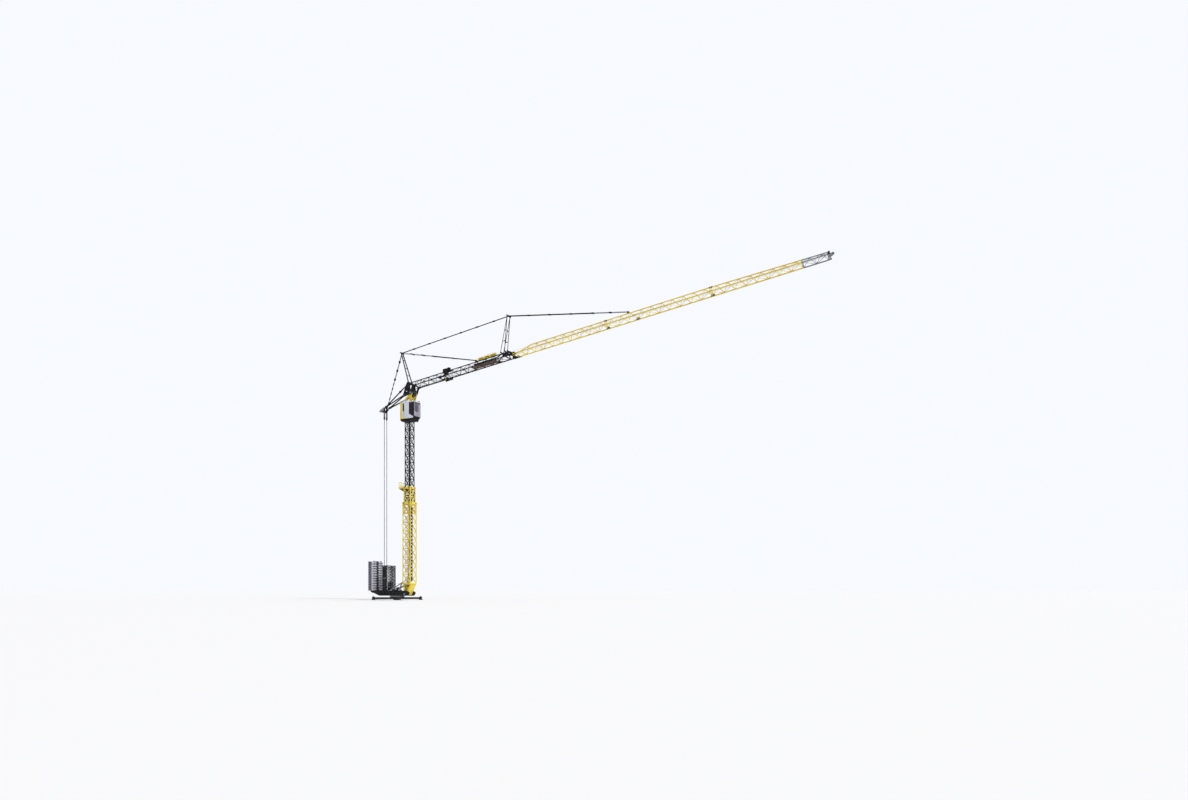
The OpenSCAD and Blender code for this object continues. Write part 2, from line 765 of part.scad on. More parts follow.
// Hollow cab with its window openings
module cab_shell() {
  color(white) difference() {
    side_plate(cab_y, cab_w, cab_outline(0));
    side_plate(cab_y, cab_w - 2 * cab_wall, cab_outline(cab_wall));
    cab_windows(3 * cab_wall, 0);
  }
}

// The panes, each a little smaller than its opening
module cab_glass() {
  color([0.1, 0.11, 0.13]) cab_windows(pane_t, seat);
}

// Seat and its pedestal on the cab floor
module cab_seat() {
  x = cab_x + 0.4 * cab_len;
  z = cab_z + cab_wall + seat;
  color(black) {
    block(x, cab_y, z, 120, 120, 180);
    block(x, cab_y, z + 170, 260, 260, 60);
    side_plate(cab_y, 240, [[x - 130, z + 200], [x - 70, z + 200], [x - 110, z + 560], [x - 160, z + 560]]);
  }
}

// The falls of luffing rope behind the mast
module rear_ropes() {
  color(grey) for (s = [-1, 1], k = [-1, 1])
    translate([rope_x + k * rope_split / 2, s * rope_y, deck_z + rope_foot_h + seat])
      cylinder(d = rope_d, h = rope_top - deck_z - rope_foot_h - 2 * seat, $fn = 12);
}

// The blocks that hang on the rear boom and take up the rope falls
module rope_blocks() {
  high = rope_pin_z - rope_top;
  color(black) for (s = [-1, 1]) difference() {
    union() {
      block(rope_x, s * rope_y, rope_top, 100, 40, high - 40);
      cross_disc(rope_x, s * rope_y, rope_pin_z, 110, 40);
      cross_disc(rope_x, s * rope_y, rope_top + 160, 150, 30);
    }
    cross_disc(rope_x, s * rope_y, rope_pin_z, rope_pin_d + 2 * seat, 60);
  }
}

// One side of the turning head: a plate from the pivot to the feet of the back frame and rear boom
module head_side(s) {
  difference() {
    union() {
      side_plate(s * head_y, head_t, [[90, -50], [root_start - 60, jib_rise - 40],
        [root_start - 16, jib_rise - 14],
        [root_start - 16, jib_rise + jib_chord + 14], [aframe_t + 80, aframe_n + 40],
        [aframe_t - 60, aframe_n + 40], [boom_up.x - 70, boom_up.y + 40], [boom_low.x - 70, boom_low.y + 20],
        [boom_low.x - 20, boom_low.y - 70], [-60, -70]]);
      cross_disc(0, s * head_y, 0, 170, head_t + 4);
      block(root_start - 45, s * (jib_w - jib_chord) / 2, jib_rise - 12, 90 - 2 * seat,
        jib_chord + 24, jib_chord + 24);
    }
    cross_disc(0, s * head_y, 0, pivot_d + 2 * seat, 60);
    for (p = [boom_up, boom_low]) cross_disc(p.x, s * head_y, p.y, boom_pin_d + 2 * seat, 60);
    side_plate(s * head_y, head_t + 20, [[boom_low.x + 130, boom_low.y + 90], [-150, 60],
      [-60, 330], [boom_up.x + 70, boom_up.y - 120]]);
    side_plate(s * head_y, head_t + 20, [[20, 200], [root_start - 170, jib_rise + 60],
      [aframe_t + 130, aframe_n - 110], [-20, 420]]);
  }
}

// The turning head that joins the jib, the back frame and the rear boom on one pivot
module head_frame() {
  color(dark) on_jib() {
    for (s = [-1, 1]) head_side(s);
    for (p = [[aframe_t, aframe_n - 60], [root_start - 50, jib_rise + jib_chord / 2]])
      bar([p.x, -head_y, p.y], [p.x, head_y, p.y], 60, 12);
    bar([aframe_t, 0, aframe_n - 60], [aframe_t + 90, 0, top_n], 56, 8);
    block((aframe_t + 60 + root_start) / 2, 0, top_n - jib_chord / 2,
      root_start - aframe_t - 60 - 2 * seat, jib_chord, jib_chord);
    cross_disc(0, 0, 0, pivot_d, 2 * head_y + 60);
    for (p = [boom_up, boom_low], s = [-1, 1]) cross_disc(p.x, s * (head_y + 42), p.y, boom_pin_d, 110);
  }
}

module jib_root() {
  color(dark) on_jib() jib_section(root_start, root_end - joint_gap, 0);
}

// The frame where the jib folds in transport: it falls from the full depth of the root section to
// the low start of the yellow ones, with straps under the lower chords across the joint
module jib_knuckle() {
  t1 = root_len - joint_gap;
  y = (jib_w - jib_chord) / 2;
  low = jib_rise + jib_chord / 2;
  top = jib_rise + jib_h - jib_chord / 2;
  strap_h = 36;
  edge = 26;
  color(black) on_jib() {
    difference() {
      union() {
        lower_chords(root_end, t1);
        for (t = [root_end + edge, t1 - edge]) bar([t, -y, low], [t, y, low], 36, 4);
        for (s = [-1, 1]) {
          bar([root_end + edge, s * y, low], [root_end + edge, 0, top], 38);
          bar([root_end + edge, 0, top], [t1 - edge, s * y, low], 34);
        }
        side_plate(0, 40, [[root_end, top - 30], [root_end, top + 24], [root_end + 130, top + 24],
          [t1 - 8, low_start + 34], [t1 - 8, low_start - 30], [t1 - 90, low_start - 30]]);
        bar([t1 - 50, 0, low_start], [t1 - 50, 0, low], 30, 4);
      }
      chord_bores(root_end, t1);
    }
    for (s = [-1, 1]) {
      block(root_len, s * y, jib_rise - strap_h, knuckle_len, 30, strap_h - seat);
      for (k = [-1, 1]) cross_disc(root_len + k * 220, s * y, jib_rise - strap_h / 2, 26, 46);
    }
  }
}

module jib_inner() {
  color(yellow) on_jib() jib_section(root_len, inner_end - joint_gap, rise_len);
}

module jib_middle() {
  color(yellow) on_jib() jib_section(inner_end, middle_end - joint_gap, 0);
}

module jib_outer() {
  color(yellow) on_jib() jib_section(middle_end, outer_end - joint_gap, 0);
}

// Unpainted last section with its narrow end frame and the cheeks for the pulley
module jib_nose() {
  t = tip_end + joint_gap;
  y = (jib_w - jib_chord) / 2;
  color(grey) on_jib() {
    jib_section(outer_end, tip_end, 0);
    for (s = [-1, 1]) side_plate(s * y, jib_chord - 6, [[tip_end - 2, jib_rise + 2],
      [tip_end - 2, jib_rise + 90], [t + 60, jib_rise + 90], [t + 90, jib_rise + 2]]);
    block(t + 40, 0, jib_rise + 6, 50, 2 * y, 60);
    side_plate(0, 60, [[tip_end - 2, jib_rise + 20], [tip_end - 2, jib_rise + nose_h + 30],
      [t + 60, jib_rise + nose_h + 30], [t + 90, jib_rise + 20]]);
    for (s = [-1, 1]) difference() {
      side_plate(s * nose_cheek, 14, [[t + 40, jib_rise + 20], [t + 40, jib_rise + 190],
        [pulley_t + 10, pulley_n + 60], [pulley_t + 50, pulley_n + 30], [pulley_t + 50, pulley_n - 40],
        [t + 150, jib_rise + 20]]);
      cross_disc(pulley_t, s * nose_cheek, pulley_n, pulley_pin_d + 2 * seat, 40);
    }
  }
}

// The pulley at the nose, grooved, on its pin
module nose_pulley() {
  color(grey) on_jib() translate([pulley_t, 0, pulley_n]) rotate([90, 0, 0]) {
    rotate_extrude($fn = 64) polygon([[0, -15], [pulley_d / 2, -15], [pulley_d / 2, -11],
      [pulley_d / 2 - 14, -4], [pulley_d / 2 - 14, 4], [pulley_d / 2, 11], [pulley_d / 2, 15], [0, 15]]);
    translate([0, 0, -nose_cheek - 14]) cylinder(d = pulley_pin_d, h = 2 * nose_cheek + 28, $fn = 32);
  }
}

// Two legs that lean together up to the shaft that carries the ties
module a_frame() {
  foot_n = aframe_n + 40 + seat;
  function leg_y(f) = aframe_w / 2 + f * (aframe_top_w - aframe_w) / 2;
  function leg(f, s) = [aframe_t + f * (head_t0 - aframe_t), s * leg_y(f), foot_n + f * (head_n0 - foot_n)];
  color(grey) on_jib() {
    for (s = [-1, 1]) difference() {
      bar(leg(-0.03, s), leg(1, s), aframe_leg, 12);
      block(aframe_t, s * aframe_w / 2, foot_n - 180, 400, 2 * aframe_leg, 180);
    }
    for (k = [0.25, 0.5, 0.75]) bar(leg(k, -1), leg(k, 1), 40, 8);
    bar([aframe_t, -head_y, foot_n + 30], [aframe_t, head_y, foot_n + 30], 60, 4);
    cross_disc(head_t0, 0, head_n0, shaft_d, 2 * shaft_half);
  }
}

// A round bar, pressed flat at both ends, with an eye there that sits on the shaft or pin
module tie(a, b, d, w, pin_a, pin_b, share = 1, thin = 0) {
  far = thin > 0 ? thin : d;
  mid = a + share * (b - a);
  flat = w + 1;
  neck = 24;
  eye_a = pin_a + 40;
  eye_b = pin_b + 30;
  difference() {
    union() {
      cross_disc(a.x, a.y, a.z, eye_a, w);
      cross_disc(b.x, b.y, b.z, eye_b, w);
      bar(a, mid, d, 8);
      if (share < 1) bar(a, b, far, 8);
    }
    cross_disc(a.x, a.y, a.z, pin_a + 2 * seat, 3 * w);
    cross_disc(b.x, b.y, b.z, pin_b + 2 * seat, 3 * w);
    for (s = [-1, 1]) {
      cross_disc(a.x, a.y + s * (flat + d) / 2, a.z, eye_a + neck, d);
      cross_disc(b.x, b.y + s * (flat + d) / 2, b.z, eye_b + neck, d);
    }
  }
}

// Rear boom: two upper and two lower bars that meet behind the mast, and its tip
module rear_boom() {
  lug_w = 40;
  tip_bar = 60;
  fork = 26;
  cheek = 14;
  color(dark) on_jib() difference() {
    union() {
      for (s = [-1, 1]) {
        for (p = [boom_up, boom_low]) {
          cross_disc(p.x, s * boom_y, p.y, boom_pin_d + 50, lug_w);
          bar([p.x, s * boom_y, p.y], [boom_joint.x, s * boom_join, boom_joint.y], boom_bar, 8);
        }
        bar([boom_joint.x, s * boom_join, boom_joint.y], [boom_tip.x, s * boom_join, boom_tip.y], tip_bar, 8);
      }
      cross_disc(boom_joint.x, 0, boom_joint.y, joint_d, 2 * boom_join);
      bar([boom_tip.x, -boom_join - 30, boom_tip.y], [boom_tip.x, boom_join + 30, boom_tip.y], 80, 12);
      bar([rope_t, -boom_join, rope_n + 100], [rope_t, boom_join, rope_n + 100], 46, 8);
      for (s = [-1, 1]) {
        for (k = [-1, 1]) side_plate(s * rope_y + k * (fork + cheek / 2), cheek, [[rope_t - 50, rope_n + 110],
          [rope_t + 50, rope_n + 110], [rope_t + 40, rope_n - 40], [rope_t - 40, rope_n - 40]]);
        cross_disc(rope_t, s * rope_y, rope_n, rope_pin_d, 80);
      }
    }
    for (p = [boom_up, boom_low]) cross_disc(p.x, 0, p.y, boom_pin_d + 2 * seat, 1000);
  }
}

// Fin with a cross pin, standing on the top chord, that takes the eyes of two ties
module tie_fin(t, half) {
  top = jib_rise + jib_h + seat;
  side_plate(0, 30, [[t - 110, top], [t + 110, top],
    [t + 40, top + anchor_h + 40], [t - 40, top + anchor_h + 40]]);
  cross_disc(t, 0, top + anchor_h, anchor_d, 2 * half);
}

module tie_anchors() {
  color(dark) on_jib() {
    tie_fin(short_tie_t, short_y + 20);
    tie_fin(front_tie_t, front_y + 20);
  }
}

// Ties from the back frame down to the rear boom, side by side
module rear_ties() {
  color(grey) on_jib() for (s = [-1, 1])
    tie([head_t0, s * rear_y, head_n0], [boom_joint.x, s * rear_y, boom_joint.y], tie_d * 0.8, 18,
      shaft_d, joint_d);
}

// Ties from the back frame to the top of the root section, thick in their lower part
module short_ties() {
  color(grey) on_jib() for (s = [-1, 1])
    tie([short_tie_t, s * short_y, jib_rise + jib_h + seat + anchor_h], [head_t0, s * short_head_y, head_n0],
      tie_d * 1.4, 26, anchor_d, shaft_d, 0.55, tie_d * 0.9);
}

// Tie bars from the back frame to the top of the jib strut
module back_ties() {
  color(black) on_jib() for (s = [-1, 1])
    tie([head_t0, s * back_y, head_n0], [strut_top_t, s * back_y, jib_rise + strut_h],
      tie_d, 16, shaft_d, shaft_d);
}

// Tie bars from the jib strut to the jib, thick over their first third
module front_ties() {
  color(black) on_jib() for (s = [-1, 1])
    tie([strut_top_t, s * front_y, jib_rise + strut_h],
      [front_tie_t, s * front_y, jib_rise + jib_h + seat + anchor_h],
      tie_d * 1.3, 26, shaft_d, anchor_d, 0.72, tie_d * 0.9);
}

// The strut on the jib: two pairs of legs from two saddles, leaning forward to one shaft
module jib_strut() {
  leg = 38;
  saddle_h = 40;
  foot_n = jib_rise + jib_h + seat;
  leg_n = foot_n + saddle_h / 2;
  rise = jib_rise + strut_h - leg_n;
  y = strut_half;
  function leg_t(k, f) = strut_t + k * strut_spread + f * (strut_top_t - strut_t - k * strut_spread);
  color(black) on_jib() {
    for (k = [-1, 1]) block(strut_t + k * strut_spread, 0, foot_n, 2 * leg, 2 * y + 50, saddle_h);
    for (s = [-1, 1], k = [-1, 1])
      bar([leg_t(k, 0), s * y, leg_n], [leg_t(k, 1), s * y, leg_n + rise], leg + 2 * k, 8);
    for (f = [0.3, 0.6]) {
      n = leg_n + f * rise;
      middle = (leg_t(-1, f) + leg_t(1, f)) / 2;
      bar([middle, -y, n], [middle, y, n], 22, 4);
      for (s = [-1, 1]) bar([leg_t(-1, f), s * y, n], [leg_t(1, f), s * y, n], 30, 4);
    }
    for (s = [-1, 1]) cross_disc(strut_top_t, s * y, leg_n + rise, shaft_d + 50, leg + 8);
    cross_disc(strut_top_t, 0, leg_n + rise, shaft_d, 2 * y + 60);
  }
}

// Winch that pulls the trolley: drum and motor between cheeks that sit round the top chord
module trolley_winch() {
  n = jib_rise + jib_h + seat;
  foot = 18;
  half = 110;
  drum_n = n + foot + 68;
  color(black) on_jib() {
    block(winch_t, 0, n, 620, 2 * half, foot);
    for (s = [-1, 1]) side_plate(s * half, 20, [[winch_t - 300, n - 90], [winch_t + 300, n - 90],
      [winch_t + 300, n + 40], [winch_t + 60, n + 70], [winch_t - 40, n + 150],
      [winch_t - 260, n + 150], [winch_t - 300, n + 90]]);
    cross_disc(winch_t - 150, 0, drum_n, 120, 2 * half + 60);
    for (s = [-1, 1]) cross_disc(winch_t + 170, s * (half + 30), n - 20, 110, 50);
  }
}

// Long tray on the floor of the root section, with the switch box that stands on it
module winch_box() {
  floor_n = jib_rise + jib_chord / 2 + jib_brace / 2 + seat;
  tray_w = 480;
  tray_h = 36;
  box_w = 240;
  box_h = 170;
  sheet = 10;
  long = tray_len - 300;
  door = long / 4;
  box_n = floor_n + tray_h - 1;
  color(black) on_jib() {
    difference() {
      block(tray_t, 0, floor_n, tray_len, tray_w, tray_h);
      block(tray_t, 0, floor_n - 1, tray_len - 2 * sheet, tray_w - 2 * sheet, tray_h - sheet + 1);
    }
    difference() {
      block(tray_t, 0, box_n, long, box_w, box_h);
      for (i = [0:3])
        block(tray_t + (i - 1.5) * door, -box_w / 2, box_n + 24, door - 30, sheet, box_h - 48);
    }
  }
}

// Yellow housings on the top chord over the switch box, with a low rail
module guard_frame() {
  n = jib_rise + jib_h + seat;
  rail = 22;
  plate = 16;
  high = 110;
  gap = 60;
  house = (guard_len - 4 * gap) / 3;
  color(yellow) on_jib() {
    block(guard_t, 0, n, guard_len, guard_w, plate);
    for (i = [-1, 0, 1]) difference() {
      block(guard_t + i * (house + gap), 0, n + plate - 1, house, guard_w - 20, high);
      block(guard_t + i * (house + gap), -guard_w / 2 + 10, n + plate + 20, house - 60, 16, high - 44);
    }
    for (s = [-1, 1], i = [-1, 1])
      block(guard_t + i * (guard_len - rail) / 2, s * (guard_w - rail) / 2, n + plate - 1,
        rail, rail, high);
  }
}

// Frame that runs on the wheel tracks of the lower chords
module trolley() {
  wheel_y = jib_w / 2 + track_w / 2;
  wheel_n = jib_rise + 4 + track_h + seat + wheel_d / 2;
  wheel_w = track_w - 12;
  plate_y = jib_w / 2 + track_w + 15;
  low_n = jib_rise - drop_n;
  color(black) on_jib() translate([trolley_t, 0, 0]) {
    for (s = [-1, 1]) {
      side_plate(s * plate_y, 14, [[-trolley_len / 2, low_n], [trolley_len / 2, low_n],
        [trolley_len / 2, wheel_n + 20], [trolley_len * 0.2, wheel_n + 20],
        [trolley_len * 0.12, wheel_n - 50], [-trolley_len * 0.12, wheel_n - 50],
        [-trolley_len * 0.2, wheel_n + 20], [-trolley_len / 2, wheel_n + 20]]);
      for (k = [-1, 1]) {
        cross_disc(k * trolley_len * 0.36, s * wheel_y, wheel_n, wheel_d, wheel_w);
        cross_disc(k * trolley_len * 0.36, s * (wheel_y + plate_y) / 2, wheel_n, 30, plate_y - wheel_y + 10);
      }
      block(0, s * sheave_y, low_n, trolley_len * 0.8, 14, 44);
    }
    for (k = [-1, 1]) {
      block(k * trolley_len * 0.4, 0, low_n, 50, 2 * plate_y, 44);
      cross_disc(k * 110, 0, low_n + 30, 100, 30);
      cross_disc(k * 110, 0, low_n + 30, 26, 2 * sheave_y + 10);
    }
  }
}

// Hook block with its sheave, hook and short falls of rope, drawn up under the trolley
module hook_block() {
  drop = 22;
  top = jib_rise - drop_n - drop;
  cheek = 12;
  color(black) on_jib() translate([trolley_t, 0, 0]) {
    for (s = [-1, 1]) side_plate(s * 26, cheek, [[-80, top], [80, top], [84, top - 50], [34, top - 104],
      [-34, top - 104], [-84, top - 50]]);
    for (k = [-1, 1]) block(k * 60, 0, top - 20, 24, 2 * sheave_y + 14, 20);
    cross_disc(0, 0, top - 58, 96, 32);
    cross_disc(0, 0, top - 58, 28, 80);
    block(0, 0, top - 126, 42, 42, 40);
    translate([0, 0, top - 160]) cylinder(d = 22, h = 50, $fn = 24);
    translate([20, 0, top - 168]) rotate([90, 0, 0]) rotate([0, 0, 140])
      rotate_extrude(angle = 250, $fn = 48) translate([27, 0]) circle(d = 19, $fn = 24);
    for (k = [-1, 1], s = [-1, 1])
      translate([k * 60, s * sheave_y, top - 14]) cylinder(d = 12, h = drop + 14 - seat, $fn = 12);
  }
}

base_frame();
base_jacks();
slew_ring_lower();
slew_ring_upper();
platform_beams();
platform_deck();
ballast_slabs();
ballast_posts();
cage_frame();
cage_cabinet();
hoist_winch();
mast_braces();
mast_foot();
outer_mast();
mast_collar();
rack_strip();
middle_mast();
service_platform();
inner_mast();
mast_ladder();
mast_cap();
cab_bracket();
cab_shell();
cab_glass();
cab_seat();
rear_ropes();
rope_blocks();
head_frame();
jib_root();
jib_knuckle();
jib_inner();
jib_middle();
jib_outer();
jib_nose();
nose_pulley();
a_frame();
rear_boom();
tie_anchors();
rear_ties();
short_ties();
back_ties();
front_ties();
jib_strut();
trolley_winch();
winch_box();
guard_frame();
trolley();
hook_block();
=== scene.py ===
"""Looks of a half-size tower crane: finishes, fine pieces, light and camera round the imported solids."""

import json
import logging
import math
from dataclasses import dataclass
from enum import Enum
from typing import Callable, Iterable, Iterator, Sequence

import bpy
from mathutils import Matrix, Vector


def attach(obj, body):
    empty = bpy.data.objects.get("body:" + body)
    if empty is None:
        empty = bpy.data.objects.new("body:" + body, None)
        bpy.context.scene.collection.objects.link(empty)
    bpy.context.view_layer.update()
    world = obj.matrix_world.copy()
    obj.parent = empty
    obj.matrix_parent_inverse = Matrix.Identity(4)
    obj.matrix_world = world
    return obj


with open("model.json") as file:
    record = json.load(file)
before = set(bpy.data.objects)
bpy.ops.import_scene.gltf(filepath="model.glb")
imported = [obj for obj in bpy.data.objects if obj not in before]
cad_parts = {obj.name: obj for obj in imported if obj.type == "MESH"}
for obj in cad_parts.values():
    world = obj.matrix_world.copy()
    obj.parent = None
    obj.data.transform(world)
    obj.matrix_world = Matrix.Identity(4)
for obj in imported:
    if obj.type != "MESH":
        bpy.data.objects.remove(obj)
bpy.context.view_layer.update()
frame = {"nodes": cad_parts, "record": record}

LOG = logging.getLogger("crane")
SIDES = (-1, 1)

Pair = tuple[float, float]
Triple = tuple[float, float, float]
Piece = bpy.types.Object
Tree = bpy.types.NodeTree
Socket = bpy.types.NodeSocket
FaceTest = Callable[[bpy.types.MeshPolygon], bool]
EdgeTest = Callable[[Vector, Vector], bool]
Rows = Iterator[tuple]


class Body(Enum):
    """The CAD bodies that a piece may ride on."""

    BASE = "base"
    TURNTABLE = "turntable"
    JIB = "jib"
    BLOCKS = "rope_blocks"
    TROLLEY = "trolley"


class Coat(Enum):
    """How a finish reflects light."""

    PAINT = "paint"
    METAL = "metal"
    GLASS = "glass"
    RUBBER = "rubber"


@dataclass(frozen=True)
class JibFrame:
    """The jib's own directions: along it, across it and square to it, from its pivot."""

    pivot: Triple = (1.45, 0.0, 14.42)
    luff: float = math.radians(7.7)

    def place(self, along: float, across: float, up: float) -> Triple:
        """Turns a place on the level jib into a place in the model.

        Args:
            along: Distance from the pivot along the jib.
            across: Distance across the jib.
            up: Distance from the pivot square to the jib.

        Returns:
            The place in model metres.
        """
        c, s = math.cos(self.luff), math.sin(self.luff)
        x0, y0, z0 = self.pivot
        return (x0 + along * c - up * s, y0 + across, z0 + along * s + up * c)

    def matrix(self) -> Matrix:
        """Returns the matrix that lays a level piece on the jib."""
        return Matrix.Translation(self.pivot) @ Matrix.Rotation(-self.luff, 4, "Y")

    def mount(self, name: str, pieces: Sequence[Piece]) -> Piece:
        """Joins level pieces, names the whole and lays it on the raised jib."""
        return move(join(name, pieces), self.matrix())


JIB = JibFrame()


def clear() -> None:
    """Leaves nothing selected."""
    bpy.ops.object.select_all(action="DESELECT")


def take(piece: Piece) -> None:
    """Makes a piece the only selected one, and the active one."""
    clear()
    piece.select_set(True)
    bpy.context.view_layer.objects.active = piece


def label(piece: Piece, name: str) -> Piece:
    """Names a piece and its mesh and returns it."""
    piece.name = name
    piece.data.name = name
    return piece


def settle(piece: Piece) -> Piece:
    """Puts a piece's place, turn and scale into its mesh and returns it."""
    take(piece)
    bpy.ops.object.transform_apply(location=True, rotation=True, scale=True)
    return piece


def cube(name: str, size: Triple, at: Triple = (0, 0, 0)) -> Piece:
    """Adds a block.

    Args:
        name: The piece's name.
        size: Its full size along X, Y and Z.
        at: The place of its middle.

    Returns:
        The new piece.
    """
    clear()
    bpy.ops.mesh.primitive_cube_add(size=1.0, location=at, scale=size)
    return settle(label(bpy.context.object, name))


def rod(name: str, start: Triple, end: Triple, wide: float, sides: int = 12) -> Piece:
    """Adds a round bar between two places.

    Args:
        name: The piece's name.
        start: The middle of one end.
        end: The middle of the other end.
        wide: Its diameter.
        sides: How many sides it has.

    Returns:
        The new piece.
    """
    a, b = Vector(start), Vector(end)
    way = b - a
    clear()
    bpy.ops.mesh.primitive_cylinder_add(
        vertices=sides, radius=wide / 2, depth=way.length, location=(a + b) / 2,
        rotation=way.to_track_quat("Z", "Y").to_euler())
    return settle(label(bpy.context.object, name))


def unselect(piece: Piece, faces: bool) -> None:
    """Takes a piece, leaves none of its mesh selected and sets the face or the edge mode."""
    take(piece)
    bpy.context.tool_settings.mesh_select_mode = (False, not faces, faces)
    bpy.ops.object.mode_set(mode="EDIT")
    bpy.ops.mesh.select_all(action="DESELECT")
    leave()


def pick(piece: Piece, chosen: FaceTest) -> None:
    """Selects the faces that a test picks out, and enters edit mode on them."""
    unselect(piece, True)
    for face in piece.data.polygons:
        face.select = chosen(face)
    bpy.ops.object.mode_set(mode="EDIT")


def pick_edges(piece: Piece, chosen: EdgeTest) -> None:
    """Selects the edges whose two ends pass a test, and enters edit mode on them."""
    unselect(piece, False)
    points = piece.data.vertices
    for edge in piece.data.edges:
        edge.select = chosen(points[edge.vertices[0]].co, points[edge.vertices[1]].co)
    bpy.ops.object.mode_set(mode="EDIT")


def leave() -> None:
    """Goes back to object mode."""
    bpy.ops.object.mode_set(mode="OBJECT")


def step(piece: Piece, chosen: FaceTest, inset: float, depth: float) -> Piece:
    """Insets the chosen faces and raises or sinks what they enclose.

    Args:
        piece: The piece.
        chosen: Tests each face.
        inset: How far the new edge lies inside the old one.
        depth: How far the middle is raised, or sunk if negative.

    Returns:
        The same piece.
    """
    pick(piece, chosen)
    bpy.ops.mesh.inset(thickness=inset, depth=depth)
    leave()
    return piece


def draw_out(piece: Piece, chosen: FaceTest, way: Triple) -> Piece:
    """Extrudes the chosen faces by the given way and returns the piece."""
    pick(piece, chosen)
    bpy.ops.mesh.extrude_region_move(TRANSFORM_OT_translate={"value": way})
    leave()
    return piece


def hollow(piece: Piece, rim: float) -> Piece:
    """Opens a plate in X and Z from side to side within its rim and returns it."""
    pick(piece, facing("y"))
    bpy.ops.mesh.inset(thickness=rim)
    bpy.ops.mesh.bridge_edge_loops()
    leave()
    return piece


def cut_corners(piece: Piece, chosen: EdgeTest, size: float, steps: int = 1) -> Piece:
    """Bevels the chosen edges by the given size and returns the piece."""
    pick_edges(piece, chosen)
    bpy.ops.mesh.bevel(offset=size, segments=steps, affect="EDGES")
    leave()
    return piece


def bevel(piece: Piece, width: float, steps: int = 1) -> Piece:
    """Rounds a piece's sharp edges with an applied modifier.

    Args:
        piece: The piece.
        width: How far the rounding reaches.
        steps: How many faces it has.

    Returns:
        The same piece.
    """
    take(piece)
    rounding = piece.modifiers.new("rounding", "BEVEL")
    rounding.width = width
    rounding.segments = steps
    rounding.limit_method = "ANGLE"
    rounding.angle_limit = math.radians(35)
    bpy.ops.object.modifier_apply(modifier=rounding.name)
    return piece


def smooth(piece: Piece, angle: float = 32.0) -> Piece:
    """Shades a piece smooth where its faces meet under the angle, in degrees."""
    take(piece)
    bpy.ops.object.shade_smooth_by_angle(angle=math.radians(angle))
    return piece


def copies(model: Piece, places: Iterable[Matrix]) -> list[Piece]:
    """Copies a piece, each copy with its own mesh, and removes the model.

    Args:
        model: The piece that repeats, made round the origin.
        places: Where each copy goes.

    Returns:
        The copies.
    """
    made = []
    for place in places:
        copy = model.copy()
        copy.data = model.data.copy()
        copy.data.transform(place)
        bpy.context.scene.collection.objects.link(copy)
        made.append(copy)
    bpy.data.objects.remove(model)
    return made


def join(name: str, pieces: Sequence[Piece]) -> Piece:
    """Joins pieces into one and names it."""
    clear()
    for piece in pieces:
        piece.select_set(True)
    bpy.context.view_layer.objects.active = pieces[0]
    if len(pieces) > 1:
        bpy.ops.object.join()
    return label(bpy.context.object, name)


def move(piece: Piece, place: Matrix) -> Piece:
    """Carries a piece's mesh to a new place and returns the piece."""
    piece.data.transform(place)
    return piece


def lay(at: Triple, about: str = "Z", degrees: float = 0.0) -> Matrix:
    """Returns the matrix that turns a piece about one axis and puts it at a place."""
    return Matrix.Translation(at) @ Matrix.Rotation(math.radians(degrees), 4, about)


def aim(at: Triple, way: Triple) -> Matrix:
    """Returns the matrix that turns a piece's Z to a direction and puts it at a place."""
    return Matrix.Translation(at) @ Vector(way).to_track_quat("Z", "Y").to_matrix().to_4x4()


def beside(x: float, y: float, z: float, about: str = "Z", degrees: float = 0.0) -> list[Matrix]:
    """Returns the two matrices of lay for a pair that stands on both sides of Y = 0."""
    return [lay((x, side * y, z), about, degrees) for side in SIDES]


def outward(x: float, y: float, z: float) -> list[Matrix]:
    """Returns the two matrices that put a pair on both sides of Y = 0, looking away from it."""
    return [aim((x, side * y, z), (0, side, 0)) for side in SIDES]


def facing(side: str, least: float = 0.9, area: float = 0.0) -> FaceTest:
    """Returns a test for the faces that look along an axis.

    Args:
        side: The axis, with a plus or a minus before it where only one of its ways counts.
        least: The share of the face's normal that has to lie along it.
        area: The area that the face has to have.

    Returns:
        The test.
    """
    def test(face: bpy.types.MeshPolygon) -> bool:
        value = getattr(face.normal, side[-1])
        value = {"+": value, "-": -value}.get(side[0], abs(value))
        return value > least and face.area >= area
    return test


def reaching(axis: str, least: float) -> EdgeTest:
    """Returns a test for the edges that reach further along an axis than the given length."""
    return lambda a, b: abs(getattr(a, axis) - getattr(b, axis)) > least


def evenly(first: float, last: float, count: int) -> list[float]:
    """Returns evenly spaced values, both ends among them."""
    return [first + (last - first) * i / (count - 1) for i in range(count)]


def bolt(wide: float, high: float) -> Piece:
    """Makes a hexagon head with the bolt's end on it, standing on z = 0."""
    piece = step(rod("bolt", (0, 0, 0), (0, 0, high), wide, 6), facing("+z"), wide * 0.2, 0.0)
    return draw_out(piece, lambda face: face.normal.z > 0.9 and face.area < wide * wide * 0.4,
                    (0, 0, high * 0.5))


def pin_head(wide: float, high: float, sides: int = 20) -> Piece:
    """Makes a round pin head with a chamfer and a keeper disc, standing on z = 0."""
    piece = rod("pin_head", (0, 0, 0), (0, 0, high * 0.6), wide, sides)
    cut_corners(piece, lambda a, b: min(a.z, b.z) > high * 0.5, high * 0.15)
    top = high * 0.59
    step(piece, lambda face: face.center.z > top and face.normal.z > 0.9, wide * 0.16, 0.0)
    return draw_out(
        piece, lambda face: face.normal.z > 0.9 and face.center.z > top and len(face.vertices) > 4,
        (0, 0, high * 0.4))


